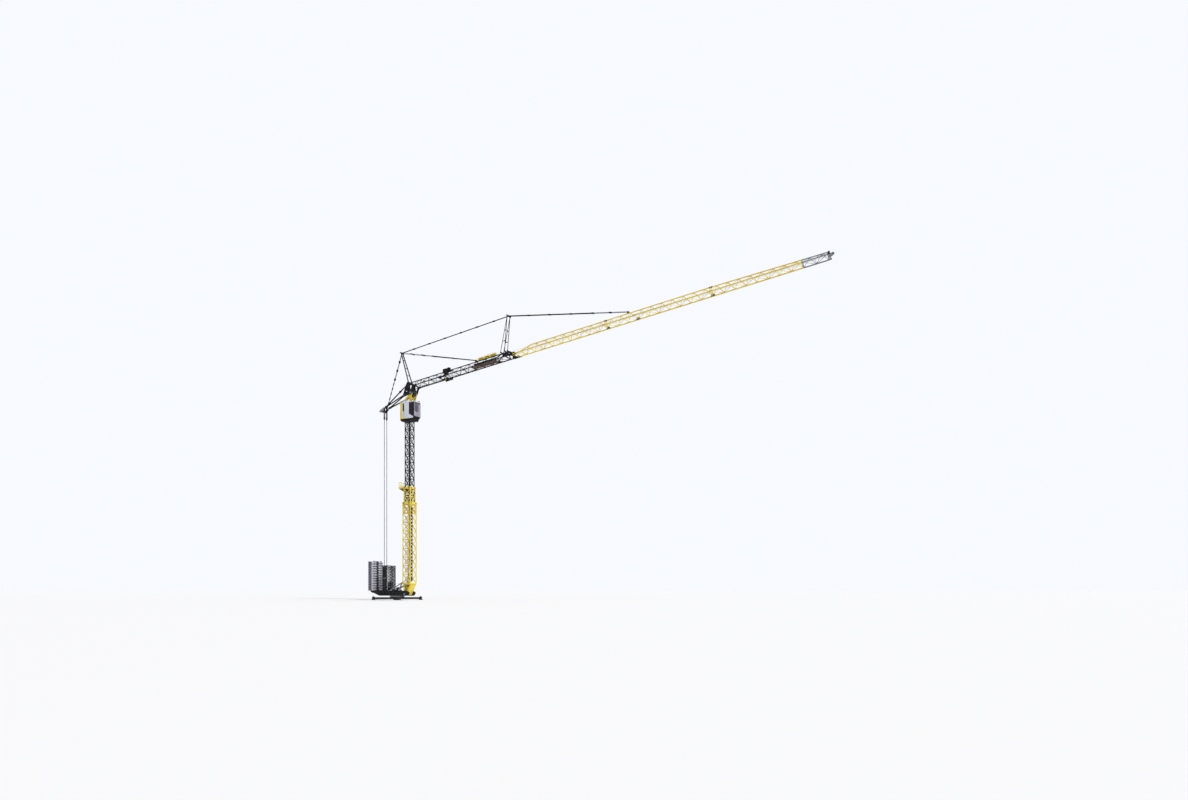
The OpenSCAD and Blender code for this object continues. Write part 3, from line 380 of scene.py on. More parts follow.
def gusset(long: float, thick: float, high: float, cut: float) -> Piece:
    """Makes a plate in X and Z with its upper corners cut off and a thin raised face."""
    piece = cube("gusset", (long, thick, high))
    cut_corners(piece, lambda a, b: a.z > 0 and b.z > 0 and abs(a.y - b.y) > thick * 0.5, cut)
    return step(piece, facing("-y"), min(long, high) * 0.07, thick * 0.2)


def drawn_plate(name: str, corners: Sequence[Pair], y: float, thick: float) -> Piece:
    """Makes a plate from a block whose four upright edges are drawn to given corners.

    Args:
        name: The piece's name.
        corners: X and Z of its low rear, low front, high front and high rear corners.
        y: The place of its middle.
        thick: Its thickness.

    Returns:
        The new piece.
    """
    piece = cube(name, (1.0, thick, 1.0), (0.0, y, 0.0))
    starts = ((-0.5, -0.5), (0.5, -0.5), (0.5, 0.5), (-0.5, 0.5))
    for (x0, z0), (x1, z1) in zip(starts, corners):
        pick_edges(piece, lambda a, b: all(
            abs(end.x - x0) < 0.01 and abs(end.z - z0) < 0.01 for end in (a, b)))
        bpy.ops.transform.translate(value=(x1 - x0, 0, z1 - z0))
        leave()
    return piece


def sheave(wide: float, thick: float, sides: int = 32) -> Piece:
    """Makes a grooved pulley wheel round the Y axis, with a sunk web and a hub."""
    piece = rod("sheave", (0, -thick / 2, 0), (0, thick / 2, 0), wide, sides)
    step(piece, lambda face: abs(face.normal.y) < 0.3, thick * 0.12, -thick * 0.32)
    for side in SIDES:
        step(piece, lambda face: face.normal.y * side > 0.9 and len(face.vertices) > 4, wide * 0.09,
             -thick * 0.22)
        step(piece, lambda face: face.normal.y * side > 0.9 and len(face.vertices) > 4, wide * 0.22,
             thick * 0.3)
    return smooth(piece)


def rim_frame(size: Triple, rim: float) -> Piece:
    """Makes a rounded rectangular frame in X and Z, open in its middle.

    Args:
        size: Its outer size along X, Y and Z.
        rim: The width of its bars.

    Returns:
        The new piece.
    """
    piece = cube("frame", size, (0, 0, 0))
    cut_corners(piece, reaching("y", size[1] * 0.5), rim * 0.8, 3)
    return hollow(piece, rim)


def hose(name: str, places: Sequence[Triple], wide: float, sides: int = 2) -> Piece:
    """Makes a round line that bends softly past the given places, with closed ends."""
    clear()
    bpy.ops.curve.primitive_nurbs_path_add()
    line = bpy.context.object
    spline = line.data.splines[0]
    spline.points.add(len(places) + 2 - len(spline.points) if len(places) > 3 else 0)
    ends = [places[0], *places, places[-1]]
    for point, place in zip(spline.points, ends):
        point.co = (*place, 1.0)
    spline.use_endpoint_u = True
    spline.order_u = 3
    spline.resolution_u = 5
    line.data.bevel_depth = wide / 2
    line.data.bevel_resolution = sides
    line.data.use_fill_caps = True
    bpy.ops.object.convert(target="MESH")
    line = bpy.context.object
    line.name = name
    take(line)
    bpy.ops.object.mode_set(mode="EDIT")
    bpy.ops.mesh.select_all(action="SELECT")
    bpy.ops.mesh.remove_doubles(threshold=wide * 0.02)
    bpy.ops.mesh.normals_make_consistent(inside=False)
    leave()
    return smooth(settle(line), 50.0)


def rope_turn(reach: float, radius: float, sides: int, lean: float) -> Piece:
    """Makes one turn of rope round the Y axis, leaning by a few degrees."""
    clear()
    bpy.ops.mesh.primitive_torus_add(major_radius=reach, minor_radius=radius, major_segments=sides,
                                     minor_segments=6, rotation=(math.pi / 2, 0, 0))
    turn = settle(bpy.context.object)
    bpy.ops.object.mode_set(mode="EDIT")
    bpy.ops.mesh.select_all(action="SELECT")
    bpy.ops.transform.rotate(value=math.radians(lean), orient_axis="Z", center_override=(0, 0, 0))
    leave()
    return turn


def fan_motor(name: str, long: float, wide: float) -> Piece:
    """Makes an electric motor along X: a finned body with a fan cover and a terminal box."""
    body = rod(name, (-long / 2, 0, 0), (long / 2, 0, 0), wide * 0.86, 24)
    step(body, facing("-x"), wide * 0.05, 0.0)
    draw_out(body, lambda face: face.normal.x < -0.9 and face.area < wide * wide * 0.5,
             (-long * 0.12, 0, 0))
    step(body, facing("+x"), wide * 0.12, long * 0.05)
    fin = cube("fin", (long * 0.7, wide * 0.012, wide * 0.08), (0, 0, wide * 0.45))
    cut_corners(fin, lambda a, b: a.z > wide * 0.45 and abs(a.y - b.y) > wide * 0.006, wide * 0.03)
    fins = copies(fin, [lay((0, 0, 0), "X", angle) for angle in range(0, 360, 18)])
    box = cube("terminals", (long * 0.3, wide * 0.4, wide * 0.2), (0, 0, wide * 0.5))
    bevel(box, wide * 0.03)
    step(box, facing("+z"), wide * 0.04, wide * 0.03)
    return join(name, [body, *fins, box])


@dataclass(frozen=True)
class Finish:
    """One surface finish, made of Blender's shader nodes.

    The colours are linear. The dust lies on faces that look up, the stain runs down the
    sides, and the chips show the metal or primer below the paint.
    """

    name: str
    colour: Triple
    shade: Triple
    coat: Coat = Coat.PAINT
    rough: float = 0.5
    patch_scale: float = 0.9
    dust: float = 0.25
    dust_colour: Triple = (0.42, 0.40, 0.36)
    chip: float = 0.0
    chip_colour: Triple = (0.10, 0.07, 0.05)
    stain: float = 0.2
    shine: float = 0.5
    grain: float = 0.15
    grain_scale: float = 60.0

    def build(self, kit: "NodeKit") -> bpy.types.Material:
        """Makes the material.

        Args:
            kit: The shared node groups.

        Returns:
            The new material.
        """
        made = bpy.data.materials.new(self.name)
        made.use_nodes = True
        tree = made.node_tree
        nodes, links = tree.nodes, tree.links
        shader = nodes["Principled BSDF"]
        place = nodes.new("ShaderNodeTexCoord").outputs["Object"]

        patches = kit.place(tree, kit.patches, place, self.patch_scale)
        base = kit.mix(tree, patches, self.colour, self.shade)
        stains = kit.place(tree, kit.stains, place, self.stain)
        base = kit.mix(tree, stains, base, tuple(c * 0.35 for c in self.shade))
        dust = kit.place(tree, kit.dust, place, self.dust)
        base = kit.mix(tree, dust, base, self.dust_colour)
        roughness = kit.mix(tree, dust, self.rough, min(1.0, self.rough + 0.35))
        if self.chip > 0:
            chips = kit.place(tree, kit.chips, place, self.chip)
            base = kit.mix(tree, chips, base, self.chip_colour)
            roughness = kit.mix(tree, chips, roughness, 0.8)
        links.new(base, shader.inputs["Base Color"])
        links.new(roughness, shader.inputs["Roughness"])

        bump = nodes.new("ShaderNodeBump")
        bump.inputs["Strength"].default_value = self.grain
        bump.inputs["Distance"].default_value = 0.004
        links.new(kit.place(tree, kit.grain, place, self.grain_scale), bump.inputs["Height"])
        links.new(bump.outputs["Normal"], shader.inputs["Normal"])

        shader.inputs["Metallic"].default_value = 0.75 if self.coat is Coat.METAL else 0.0
        shader.inputs["Specular IOR Level"].default_value = self.shine
        if self.coat is Coat.PAINT:
            shader.inputs["Coat Weight"].default_value = 0.3 * self.shine
            shader.inputs["Coat Roughness"].default_value = 0.3
        if self.coat is Coat.GLASS:
            shader.inputs["Coat Weight"].default_value = self.shine
            shader.inputs["Coat Roughness"].default_value = 0.03
            shader.inputs["IOR"].default_value = 1.5
        return made


class NodeKit:
    """Shared node groups, built once, and small helpers to place them."""

    def __init__(self) -> None:
        """Builds every group."""
        self.patches = self._group("weather_patches", "Scale", "Mask", self._patches)
        self.stains = self._group("run_off_stains", "Amount", "Mask", self._stains)
        self.dust = self._group("settled_dust", "Amount", "Mask", self._dust)
        self.chips = self._group("paint_chips", "Amount", "Mask", self._chips)
        self.grain = self._group("surface_grain", "Scale", "Height", self._grain)

    @staticmethod
    def _group(name: str, key: str, result: str, fill: Callable[[Tree, Socket, Socket], Socket]) -> Tree:
        """Makes one group with a Vector input, a value and a result.

        Args:
            name: The group's name.
            key: The name of its value.
            result: The name of its output.
            fill: Puts the nodes between the two inputs and the output.

        Returns:
            The group.
        """
        tree = bpy.data.node_groups.new(name, "ShaderNodeTree")
        tree.interface.new_socket("Vector", in_out="INPUT", socket_type="NodeSocketVector")
        tree.interface.new_socket(key, in_out="INPUT", socket_type="NodeSocketFloat")
        tree.interface.new_socket(result, in_out="OUTPUT", socket_type="NodeSocketFloat")
        source = tree.nodes.new("NodeGroupInput").outputs
        sink = tree.nodes.new("NodeGroupOutput").inputs
        tree.links.new(fill(tree, source["Vector"], source[key]), sink[result])
        return tree

    @staticmethod
    def _feed(tree: Tree, value: "float | Triple | Socket", socket: Socket) -> None:
        """Links a socket to one that nodes give, or sets a plain value or colour on it."""
        if isinstance(value, bpy.types.NodeSocket):
            tree.links.new(value, socket)
        else:
            socket.default_value = (*value, 1.0) if isinstance(value, tuple) else value

    def _noise(self, tree: Tree, vector: Socket, scale: "float | Socket", detail: float = 3.0,
               stretch: Triple = (1.0, 1.0, 1.0)) -> Socket:
        """Adds a noise texture, stretched by a Mapping node."""
        mapping = tree.nodes.new("ShaderNodeMapping")
        mapping.inputs["Scale"].default_value = stretch
        tree.links.new(vector, mapping.inputs["Vector"])
        noise = tree.nodes.new("ShaderNodeTexNoise")
        self._feed(tree, scale, noise.inputs["Scale"])
        noise.inputs["Detail"].default_value = detail
        tree.links.new(mapping.outputs["Vector"], noise.inputs["Vector"])
        return noise.outputs["Fac"]

    @staticmethod
    def _range(tree: Tree, value: Socket, low: float, high: float) -> Socket:
        """Adds a node that turns values from low to high into 0 to 1."""
        node = tree.nodes.new("ShaderNodeMapRange")
        node.inputs["From Min"].default_value = low
        node.inputs["From Max"].default_value = high
        tree.links.new(value, node.inputs["Value"])
        return node.outputs["Result"]

    @staticmethod
    def _times(tree: Tree, a: Socket, b: Socket) -> Socket:
        """Adds a node that multiplies two values."""
        node = tree.nodes.new("ShaderNodeMath")
        node.operation = "MULTIPLY"
        node.use_clamp = True
        tree.links.new(a, node.inputs[0])
        tree.links.new(b, node.inputs[1])
        return node.outputs["Value"]

    def _patches(self, tree: Tree, vector: Socket, scale: Socket) -> Socket:
        """Broad, soft patches where paint has faded."""
        return self._range(tree, self._noise(tree, vector, scale, 4.0), 0.38, 0.66)

    def _stains(self, tree: Tree, vector: Socket, amount: Socket) -> Socket:
        """Narrow dark runs that follow the fall of water."""
        noise = self._noise(tree, vector, 9.0, 2.0, (1.0, 1.0, 0.06))
        return self._times(tree, self._range(tree, noise, 0.58, 0.74), amount)

    def _dust(self, tree: Tree, vector: Socket, amount: Socket) -> Socket:
        """Dust that lies on faces that look up, thicker in places."""
        shape = tree.nodes.new("ShaderNodeNewGeometry")
        split = tree.nodes.new("ShaderNodeSeparateXYZ")
        tree.links.new(shape.outputs["Normal"], split.inputs["Vector"])
        upward = self._range(tree, split.outputs["Z"], 0.1, 0.95)
        spread = self._range(tree, self._noise(tree, vector, 5.0, 5.0), 0.25, 0.7)
        return self._times(tree, self._times(tree, upward, spread), amount)

    def _chips(self, tree: Tree, vector: Socket, amount: Socket) -> Socket:
        """Small hard-edged chips in the paint, grouped in worn places."""
        sharp = self._range(tree, self._noise(tree, vector, 26.0, 6.0), 0.63, 0.66)
        worn = self._range(tree, self._noise(tree, vector, 1.7, 2.0), 0.45, 0.62)
        return self._times(tree, self._times(tree, sharp, worn), amount)

    def _grain(self, tree: Tree, vector: Socket, scale: Socket) -> Socket:
        """The fine unevenness of sprayed paint, rolled steel or cast concrete."""
        return self._noise(tree, vector, scale, 5.0)

    @staticmethod
    def place(tree: Tree, group: Tree, vector: Socket, value: float) -> Socket:
        """Places a group in a material.

        Args:
            tree: The material's node tree.
            group: The group.
            vector: Where the pattern is read from.
            value: The group's value.

        Returns:
            The group's result.
        """
        node = tree.nodes.new("ShaderNodeGroup")
        node.node_tree = group
        tree.links.new(vector, node.inputs[0])
        node.inputs[1].default_value = value
        return node.outputs[0]

    def mix(self, tree: Tree, mask: Socket, low: "float | Triple | Socket",
            high: "float | Triple") -> Socket:
        """Mixes a colour or a value, plain or from nodes, with another by a mask."""
        node = tree.nodes.new("ShaderNodeMix")
        colour = isinstance(high, tuple)
        node.data_type = "RGBA" if colour else "FLOAT"
        first, second, result = (6, 7, 2) if colour else (2, 3, 0)
        tree.links.new(mask, node.inputs[0])
        self._feed(tree, low, node.inputs[first])
        self._feed(tree, high, node.inputs[second])
        return node.outputs[result]


class Palette:
    """All finishes of the crane, by the record's material slots."""

    def __init__(self) -> None:
        """Builds each finish as a material."""
        kit = NodeKit()
        finishes = (
            Finish("yellow_paint", (0.74, 0.58, 0.034), (0.64, 0.47, 0.032), rough=0.42, dust=0.25,
                   dust_colour=(0.62, 0.52, 0.30), chip=0.5, stain=0.16),
            Finish("dark_steel", (0.010, 0.010, 0.013), (0.018, 0.018, 0.022), rough=0.55, dust=0.14,
                   dust_colour=(0.10, 0.095, 0.09), chip=0.3, chip_colour=(0.12, 0.06, 0.03), shine=0.15),
            Finish("black_steel", (0.006, 0.0055, 0.006), (0.010, 0.009, 0.010), rough=0.6, dust=0.10,
                   dust_colour=(0.08, 0.06, 0.05), chip=0.2, chip_colour=(0.09, 0.04, 0.02), shine=0.12),
            Finish("grey_steel", (0.26, 0.27, 0.285), (0.18, 0.19, 0.20), Coat.METAL, rough=0.42,
                   dust=0.3, chip=0.25, chip_colour=(0.16, 0.10, 0.06), stain=0.25),
            Finish("rope_steel", (0.30, 0.30, 0.30), (0.16, 0.155, 0.15), Coat.METAL, rough=0.5,
                   patch_scale=3.0, dust=0.1, grain=0.4, grain_scale=140.0),
            Finish("ballast", (0.72, 0.72, 0.81), (0.62, 0.62, 0.70), Coat.RUBBER, rough=0.78,
                   dust=0.2, chip=0.3, chip_colour=(0.27, 0.25, 0.23), stain=0.2, grain=0.5,
                   grain_scale=35.0),
            Finish("white_panel", (0.64, 0.67, 0.74), (0.55, 0.58, 0.65), rough=0.3, dust=0.3,
                   chip=0.12, stain=0.2),
            Finish("pale_panel", (0.86, 0.87, 0.90), (0.74, 0.75, 0.78), rough=0.5, dust=0.2,
                   chip=0.3, chip_colour=(0.10, 0.09, 0.085), stain=0.3),
            Finish("pale_glass", (0.23, 0.205, 0.27), (0.31, 0.28, 0.35), Coat.GLASS, rough=0.12,
                   dust=0.1, stain=0.25, shine=0.4, grain=0.0),
            Finish("dark_glass", (0.004, 0.004, 0.006), (0.008, 0.007, 0.010), Coat.GLASS, rough=0.10,
                   dust=0.04, stain=0.08, shine=0.15, grain=0.0),
            # slate_panel: dark purple-grey. On the ballast slab ends it is painted shade for the stack's
            # side faces; the cab's darker front pane uses it too.
            Finish("slate_panel", (0.100, 0.088, 0.125), (0.070, 0.062, 0.090), rough=0.6, dust=0.2,
                   chip=0.3, chip_colour=(0.05, 0.045, 0.05), stain=0.3, shine=0.3),
            Finish("black_plastic", (0.022, 0.022, 0.024), (0.035, 0.035, 0.037), Coat.RUBBER,
                   rough=0.65, dust=0.3, grain=0.3, grain_scale=180.0),
            Finish("brown_steel", (0.13, 0.060, 0.026), (0.075, 0.036, 0.018), rough=0.62, dust=0.2,
                   dust_colour=(0.18, 0.14, 0.11), chip=0.3, chip_colour=(0.03, 0.03, 0.032)),
        )
        self.materials = {finish.name: finish.build(kit) for finish in finishes}

    def dress_nodes(self) -> None:
        """Gives every CAD node the finish of its slot, or the shade of it that the photograph shows."""
        shades = {"a_frame": "dark_steel", "rear_ties": "dark_steel", "short_ties": "dark_steel",
                  "cage_cabinet": "pale_panel"}
        for part in frame["record"]["subparts"]:
            node = frame["nodes"][part["node"]]
            finish = self.materials[shades.get(part["node"], part["material_slot"])]
            if not node.data.materials:
                node.data.materials.append(finish)
            for slot in node.material_slots:
                slot.material = finish

    def dress(self, piece: Piece, slot: str, body: Body, look: str = "") -> Piece:
        """Gives a new piece its finish, its slot and its body.

        Args:
            piece: The piece.
            slot: The record's material slot.
            body: The body that it rides on.
            look: The finish, where it isn't the slot's own.

        Returns:
            The same piece.
        """
        piece.data.materials.clear()
        piece.data.materials.append(self.materials[look or slot])
        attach(piece, body.value)
        LOG.info("piece %s: %d faces, on %s", piece.name, len(piece.data.polygons), body.value)
        return piece


class Fittings:
    """Fine pieces of one sub-assembly, most of which ride on one body."""

    body = Body.TURNTABLE

    def pieces(self) -> Rows:
        """Makes each piece and names its slot, and its look and body where they differ."""
        raise NotImplementedError

    def build(self, palette: Palette) -> None:
        """Makes and dresses every piece.

        Args:
            palette: The crane's finishes.
        """
        for piece, slot, *more in self.pieces():
            look = more[0] if more else ""
            body = more[1] if more[1:] else self.body
            palette.dress(piece, slot, body, look)


@dataclass(frozen=True)
class BaseFittings(Fittings):
    """Fine pieces of the base frame, its jacks and the slewing ring."""

    body = Body.BASE
    span: float = 2.3
    ring: float = 1.0
    ring_z: float = 0.21
    ring_h: float = 0.046
    boss_z: float = 0.23
    teeth: int = 90

    def pieces(self) -> Rows:
        """Yields every piece with its slot."""
        yield self._teeth(), "grey_steel"
        yield self._nuts(), "grey_steel"
        yield self._ribs(), "dark_steel"

    def _teeth(self) -> Piece:
        """The ring gear's teeth, round the lower half of the slewing ring."""
        tooth = cube("tooth", (0.030, 0.020, self.ring_h * 0.8))
        cut_corners(tooth, lambda a, b: a.x > 0 and b.x > 0 and abs(a.z - b.z) > 0.01, 0.006)
        turn = 360.0 / self.teeth
        places = [lay((0, 0, self.ring_z + self.ring_h / 2), "Z",
                      i * turn) @ lay((self.ring / 2 + 0.010, 0, 0)) for i in range(self.teeth)]
        return join("ring_teeth", copies(tooth, places))

    def _corners(self) -> list[Pair]:
        """Returns the places of the four jacks in plan."""
        reach = self.span / 2
        return [(x * reach, y * reach) for x in SIDES for y in SIDES]

    def _nuts(self) -> Piece:
        """The lock nuts of the spindles and the bolts of the foot pads."""
        made = copies(bolt(0.105, 0.028), [lay((x, y, self.boss_z - 0.001)) for x, y in self._corners()])
        made += copies(bolt(0.022, 0.010), [
            lay((x, y, 0.0215), "Z", 45 + 90 * i) @ lay((0.13, 0, 0))
            for x, y in self._corners() for i in range(4)])
        return join("jack_nuts", made)

    def _ribs(self) -> Piece:
        """The webs that stiffen the pads, and the gussets between arms and hub."""
        made = copies(gusset(0.10, 0.010, 0.026, 0.02), [
            lay((x, y, 0.034), "Z", 60 * i) @ lay((0.095, 0, 0))
            for x, y in self._corners() for i in range(6)])
        made += copies(gusset(0.22, 0.014, 0.12, 0.07), [
            lay((0, 0, 0.13), "Z", angle) @ lay((0.56, side * 0.091, 0))
            for angle in (45, 135, 225, 315) for side in SIDES])
        return join("base_ribs", made)


@dataclass(frozen=True)
class PlatformFittings(Fittings):
    """Slewing drive, power unit, beam flanges and stiffeners of the slewing platform."""

    deck_z: float = 0.6623
    floor_z: float = 0.3023
    beam_y: float = 0.32
    beam_t: float = 0.09
    rear: float = -2.125

    def pieces(self) -> Rows:
        """Yields every piece with its slot."""
        yield self._flanges(), "dark_steel"
        yield self._stiffeners(), "dark_steel"
        yield self._slewing_drive(), "grey_steel"
        yield self._power_unit(), "dark_steel"
        yield self._hoses(), "black_plastic"
        yield self._mast_pins(), "grey_steel"

    def _flanges(self) -> Piece:
        """The top flanges that stick out from both beams."""
        made = []
        for side in SIDES:
            strip = cube("flange", (3.12, self.beam_t + 0.05, 0.014),
                         (self.rear + 1.56 + 0.001, side * self.beam_y, self.deck_z - 0.008))
            cut_corners(strip, lambda a, b: min(a.x, b.x) > 0.9 and abs(a.z - b.z) > 0.005, 0.04)
            made.append(bevel(strip, 0.002))
        return join("beam_flanges", made)

    def _stiffeners(self) -> Piece:
        """The upright ribs on the outer side of each beam."""
        places = []
        for side in SIDES:
            for x in evenly(-1.18, 0.74, 7):
                places.append(lay((x, side * (self.beam_y + self.beam_t / 2 + 0.011), 0.482), "Z", 90))
        return join("beam_ribs", copies(gusset(0.026, 0.012, 0.335, 0.010), places))

    def _slewing_drive(self) -> Piece:
        """The gearbox and motor that turn the platform, upright ahead of the ring."""
        x = 0.68
        box = rod("slewing_drive", (x, 0, self.floor_z + 0.02), (x, 0, 0.60), 0.19, 28)
        step(box, facing("+z"), 0.02, 0.03)
        step(box, facing("+z", area=0.01), 0.012, 0.06)
        seat = cube("drive_seat", (0.26, 0.50, 0.016), (x, 0, self.floor_z + 0.12))
        cut_corners(seat, reaching("z", 0.005), 0.03)
        bevel(seat, 0.003)
        motor = move(fan_motor("drive_motor", 0.26, 0.15), lay((x, 0, 0.80), "Y", -90))
        bolts = copies(bolt(0.020, 0.010), [
            lay((x, 0, self.floor_z + 0.127), "Z", 30 * i) @ lay((0.112, 0, 0))
            for i in range(12)])
        return join("slewing_drive", [box, seat, motor, *bolts])

    def _power_unit(self) -> Piece:
        """The hydraulic tank with its filler, level glass and pump motor."""
        x, z = 0.02, 0.4923
        tank = cube("power_unit", (0.46, 0.40, 0.24), (x, 0, z + 0.12))
        bevel(tank, 0.012, 2)
        step(tank, facing("-y", area=0.05), 0.03, -0.006)
        step(tank, facing("+z", area=0.05), 0.02, 0.008)
        cap = move(pin_head(0.07, 0.035, 16), lay((x - 0.15, -0.12, z + 0.245)))
        motor = move(fan_motor("pump_motor", 0.24, 0.16), lay((x + 0.02, 0.06, z + 0.325)))
        feet = copies(gusset(0.05, 0.03, 0.03, 0.01), [
            lay((x + dx, dy, z + 0.009)) for dx in (-0.19, 0.19) for dy in (-0.13, 0.13)])
        return join("power_unit", [tank, cap, motor, *feet])

    def _hoses(self) -> Piece:
        """The hoses between power unit, slewing drive and cage."""
        made = [
            hose("hose", [(0.2, -0.08, 0.66), (0.30, -0.09, 0.74), (0.45, -0.10, 0.60),
                                 (0.60, -0.06, 0.62), (0.66, -0.04, 0.63)], 0.020),
            hose("hose", [(0.2, -0.03, 0.66), (0.31, -0.03, 0.71), (0.46, -0.06, 0.57),
                                 (0.60, -0.01, 0.60), (0.67, 0.0, 0.60)], 0.020),
            hose("hose", [(-0.2, 0.10, 0.64), (-0.32, 0.13, 0.60), (-0.44, 0.17, 0.63),
                                 (-0.60, 0.22, 0.70), (-0.72, 0.25, 0.672)], 0.024)]
        return join("hydraulic_hoses", made)

    def _mast_pins(self) -> Piece:
        """The heads of the mast's foot pin and of the brace pins."""
        made = copies(pin_head(0.15, 0.03), outward(0.95, 0.386, 0.4123))
        made += copies(pin_head(0.07, 0.022), [
            aim((x, side * (0.321 + turn * 0.017), 0.722), (0, turn, 0))
            for x in (-0.26, 0.47) for side in SIDES for turn in SIDES])
        return join("foot_pins", made)


@dataclass(frozen=True)
class BallastFittings(Fittings):
    """Painted-shade end plates, edges, wedges, guide plates, lifting pins and clamp rods of the ballast
    stack.
    """

    rear: float = -2.125
    slab_len: float = 0.31
    slab_w: float = 1.18
    slab_h: float = 0.122
    count: int = 17
    bottom: float = 0.6626
    rods: Pair = (-0.36, 0.36)

    def pieces(self) -> Rows:
        """Yields every piece with its slot."""
        yield self._pins(), "dark_steel"
        yield self._rods(), "dark_steel"
        # The dark slate slab ends are painted shade on the stack's side faces.
        yield self._ends(), "dark_steel", "slate_panel"
        yield self._backing(), "black_steel"
        yield self._edges(), "dark_steel"
        yield self._teeth(), "ballast"

    def _levels(self, share: float) -> list[float]:
        """Returns one height in each slab, at a share of its thickness."""
        return [self.bottom + (i + share) * self.slab_h for i in range(self.count)]

    def _ends(self) -> Piece:
        """Dark slate plates on both ends of each slab, painted shade that darkens the stack's side faces.
        """
        x = self.rear + self.slab_len / 2
        plate = cube("slab_end", (self.slab_len - 0.012, 0.010, self.slab_h - 0.022))
        step(plate, facing("y"), 0.012, -0.003)
        places = [lay((x, side * (self.slab_w / 2 + 0.002), z)) for z in self._levels(0.5)
                  for side in SIDES]
        return join("slab_end_shade_plates", copies(plate, places))

    def _edges(self) -> Piece:
        """The steel strip along the lower front edge of each slab."""
        strip = cube("slab_edge", (0.008, self.slab_w - 0.010, 0.040))
        cut_corners(strip, reaching("y", 0.5), 0.003)
        places = [lay((self.rear + self.slab_len + 0.001, 0, z)) for z in self._levels(0.08)]
        return join("slab_edges", copies(strip, places))

    def _backing(self) -> Piece:
        """The dark guide plates on both sides of the slot, which the wedges stand on."""
        x = self.rear + self.slab_len + 0.003
        high = self.count * self.slab_h - 0.02
        plate = step(cube("guide_plate", (0.008, 0.13, high)), facing("+x"), 0.010, 0.002)
        places = beside(x, 0.17, self.bottom + high / 2 + 0.01)
        return join("slab_guide_plates", copies(plate, places))

    def _teeth(self) -> Piece:
        """The pale wedges that reach over the guide post from both sides of its slot."""
        x = self.rear + self.slab_len + 0.012
        tooth = cube("tooth", (0.014, 0.19, self.slab_h * 0.5), (0, 0.095, 0))
        pick_edges(tooth, lambda a, b: min(a.y, b.y) > 0.1 and a.z < 0 and b.z < 0)
        bpy.ops.transform.translate(value=(0, 0, self.slab_h * 0.45))
        leave()
        step(tooth, facing("+x"), 0.004, 0.002)
        places = [lay((x, side * 0.235, z), "X", 180 if side > 0 else 0) for z in self._levels(0.5)
                  for side in SIDES]
        return join("slab_teeth", copies(tooth, places))

    def _pins(self) -> Piece:
        """A lifting pin in both ends of each slab."""
        x = self.rear + self.slab_len / 2
        places = [aim((x, side * (self.slab_w / 2 + 0.004), z), (0, side, 0)) for z in self._levels(0.4)
                  for side in SIDES]
        return join("lifting_pins", copies(pin_head(0.045, 0.018, 12), places))

    def _rods(self) -> Piece:
        """The two clamp rods in front of the stack, with their nuts and claws."""
        x = self.rear + self.slab_len + 0.028
        top = self.bottom + self.count * self.slab_h
        made = []
        for y in self.rods:
            bar = rod("clamp_rod", (x, y, self.bottom - 0.02), (x, y, top + 0.02), 0.030, 12)
            made.append(step(bar, facing("+z"), 0.004, 0.008))
            claw = cube("claw", (0.15, 0.09, 0.022), (x - 0.05, y, top + 0.011))
            cut_corners(claw, reaching("z", 0.01), 0.02)
            made.append(claw)
        made += copies(bolt(0.056, 0.024), [lay((x, y, top + 0.018)) for y in self.rods])
        return join("clamp_rods", made)


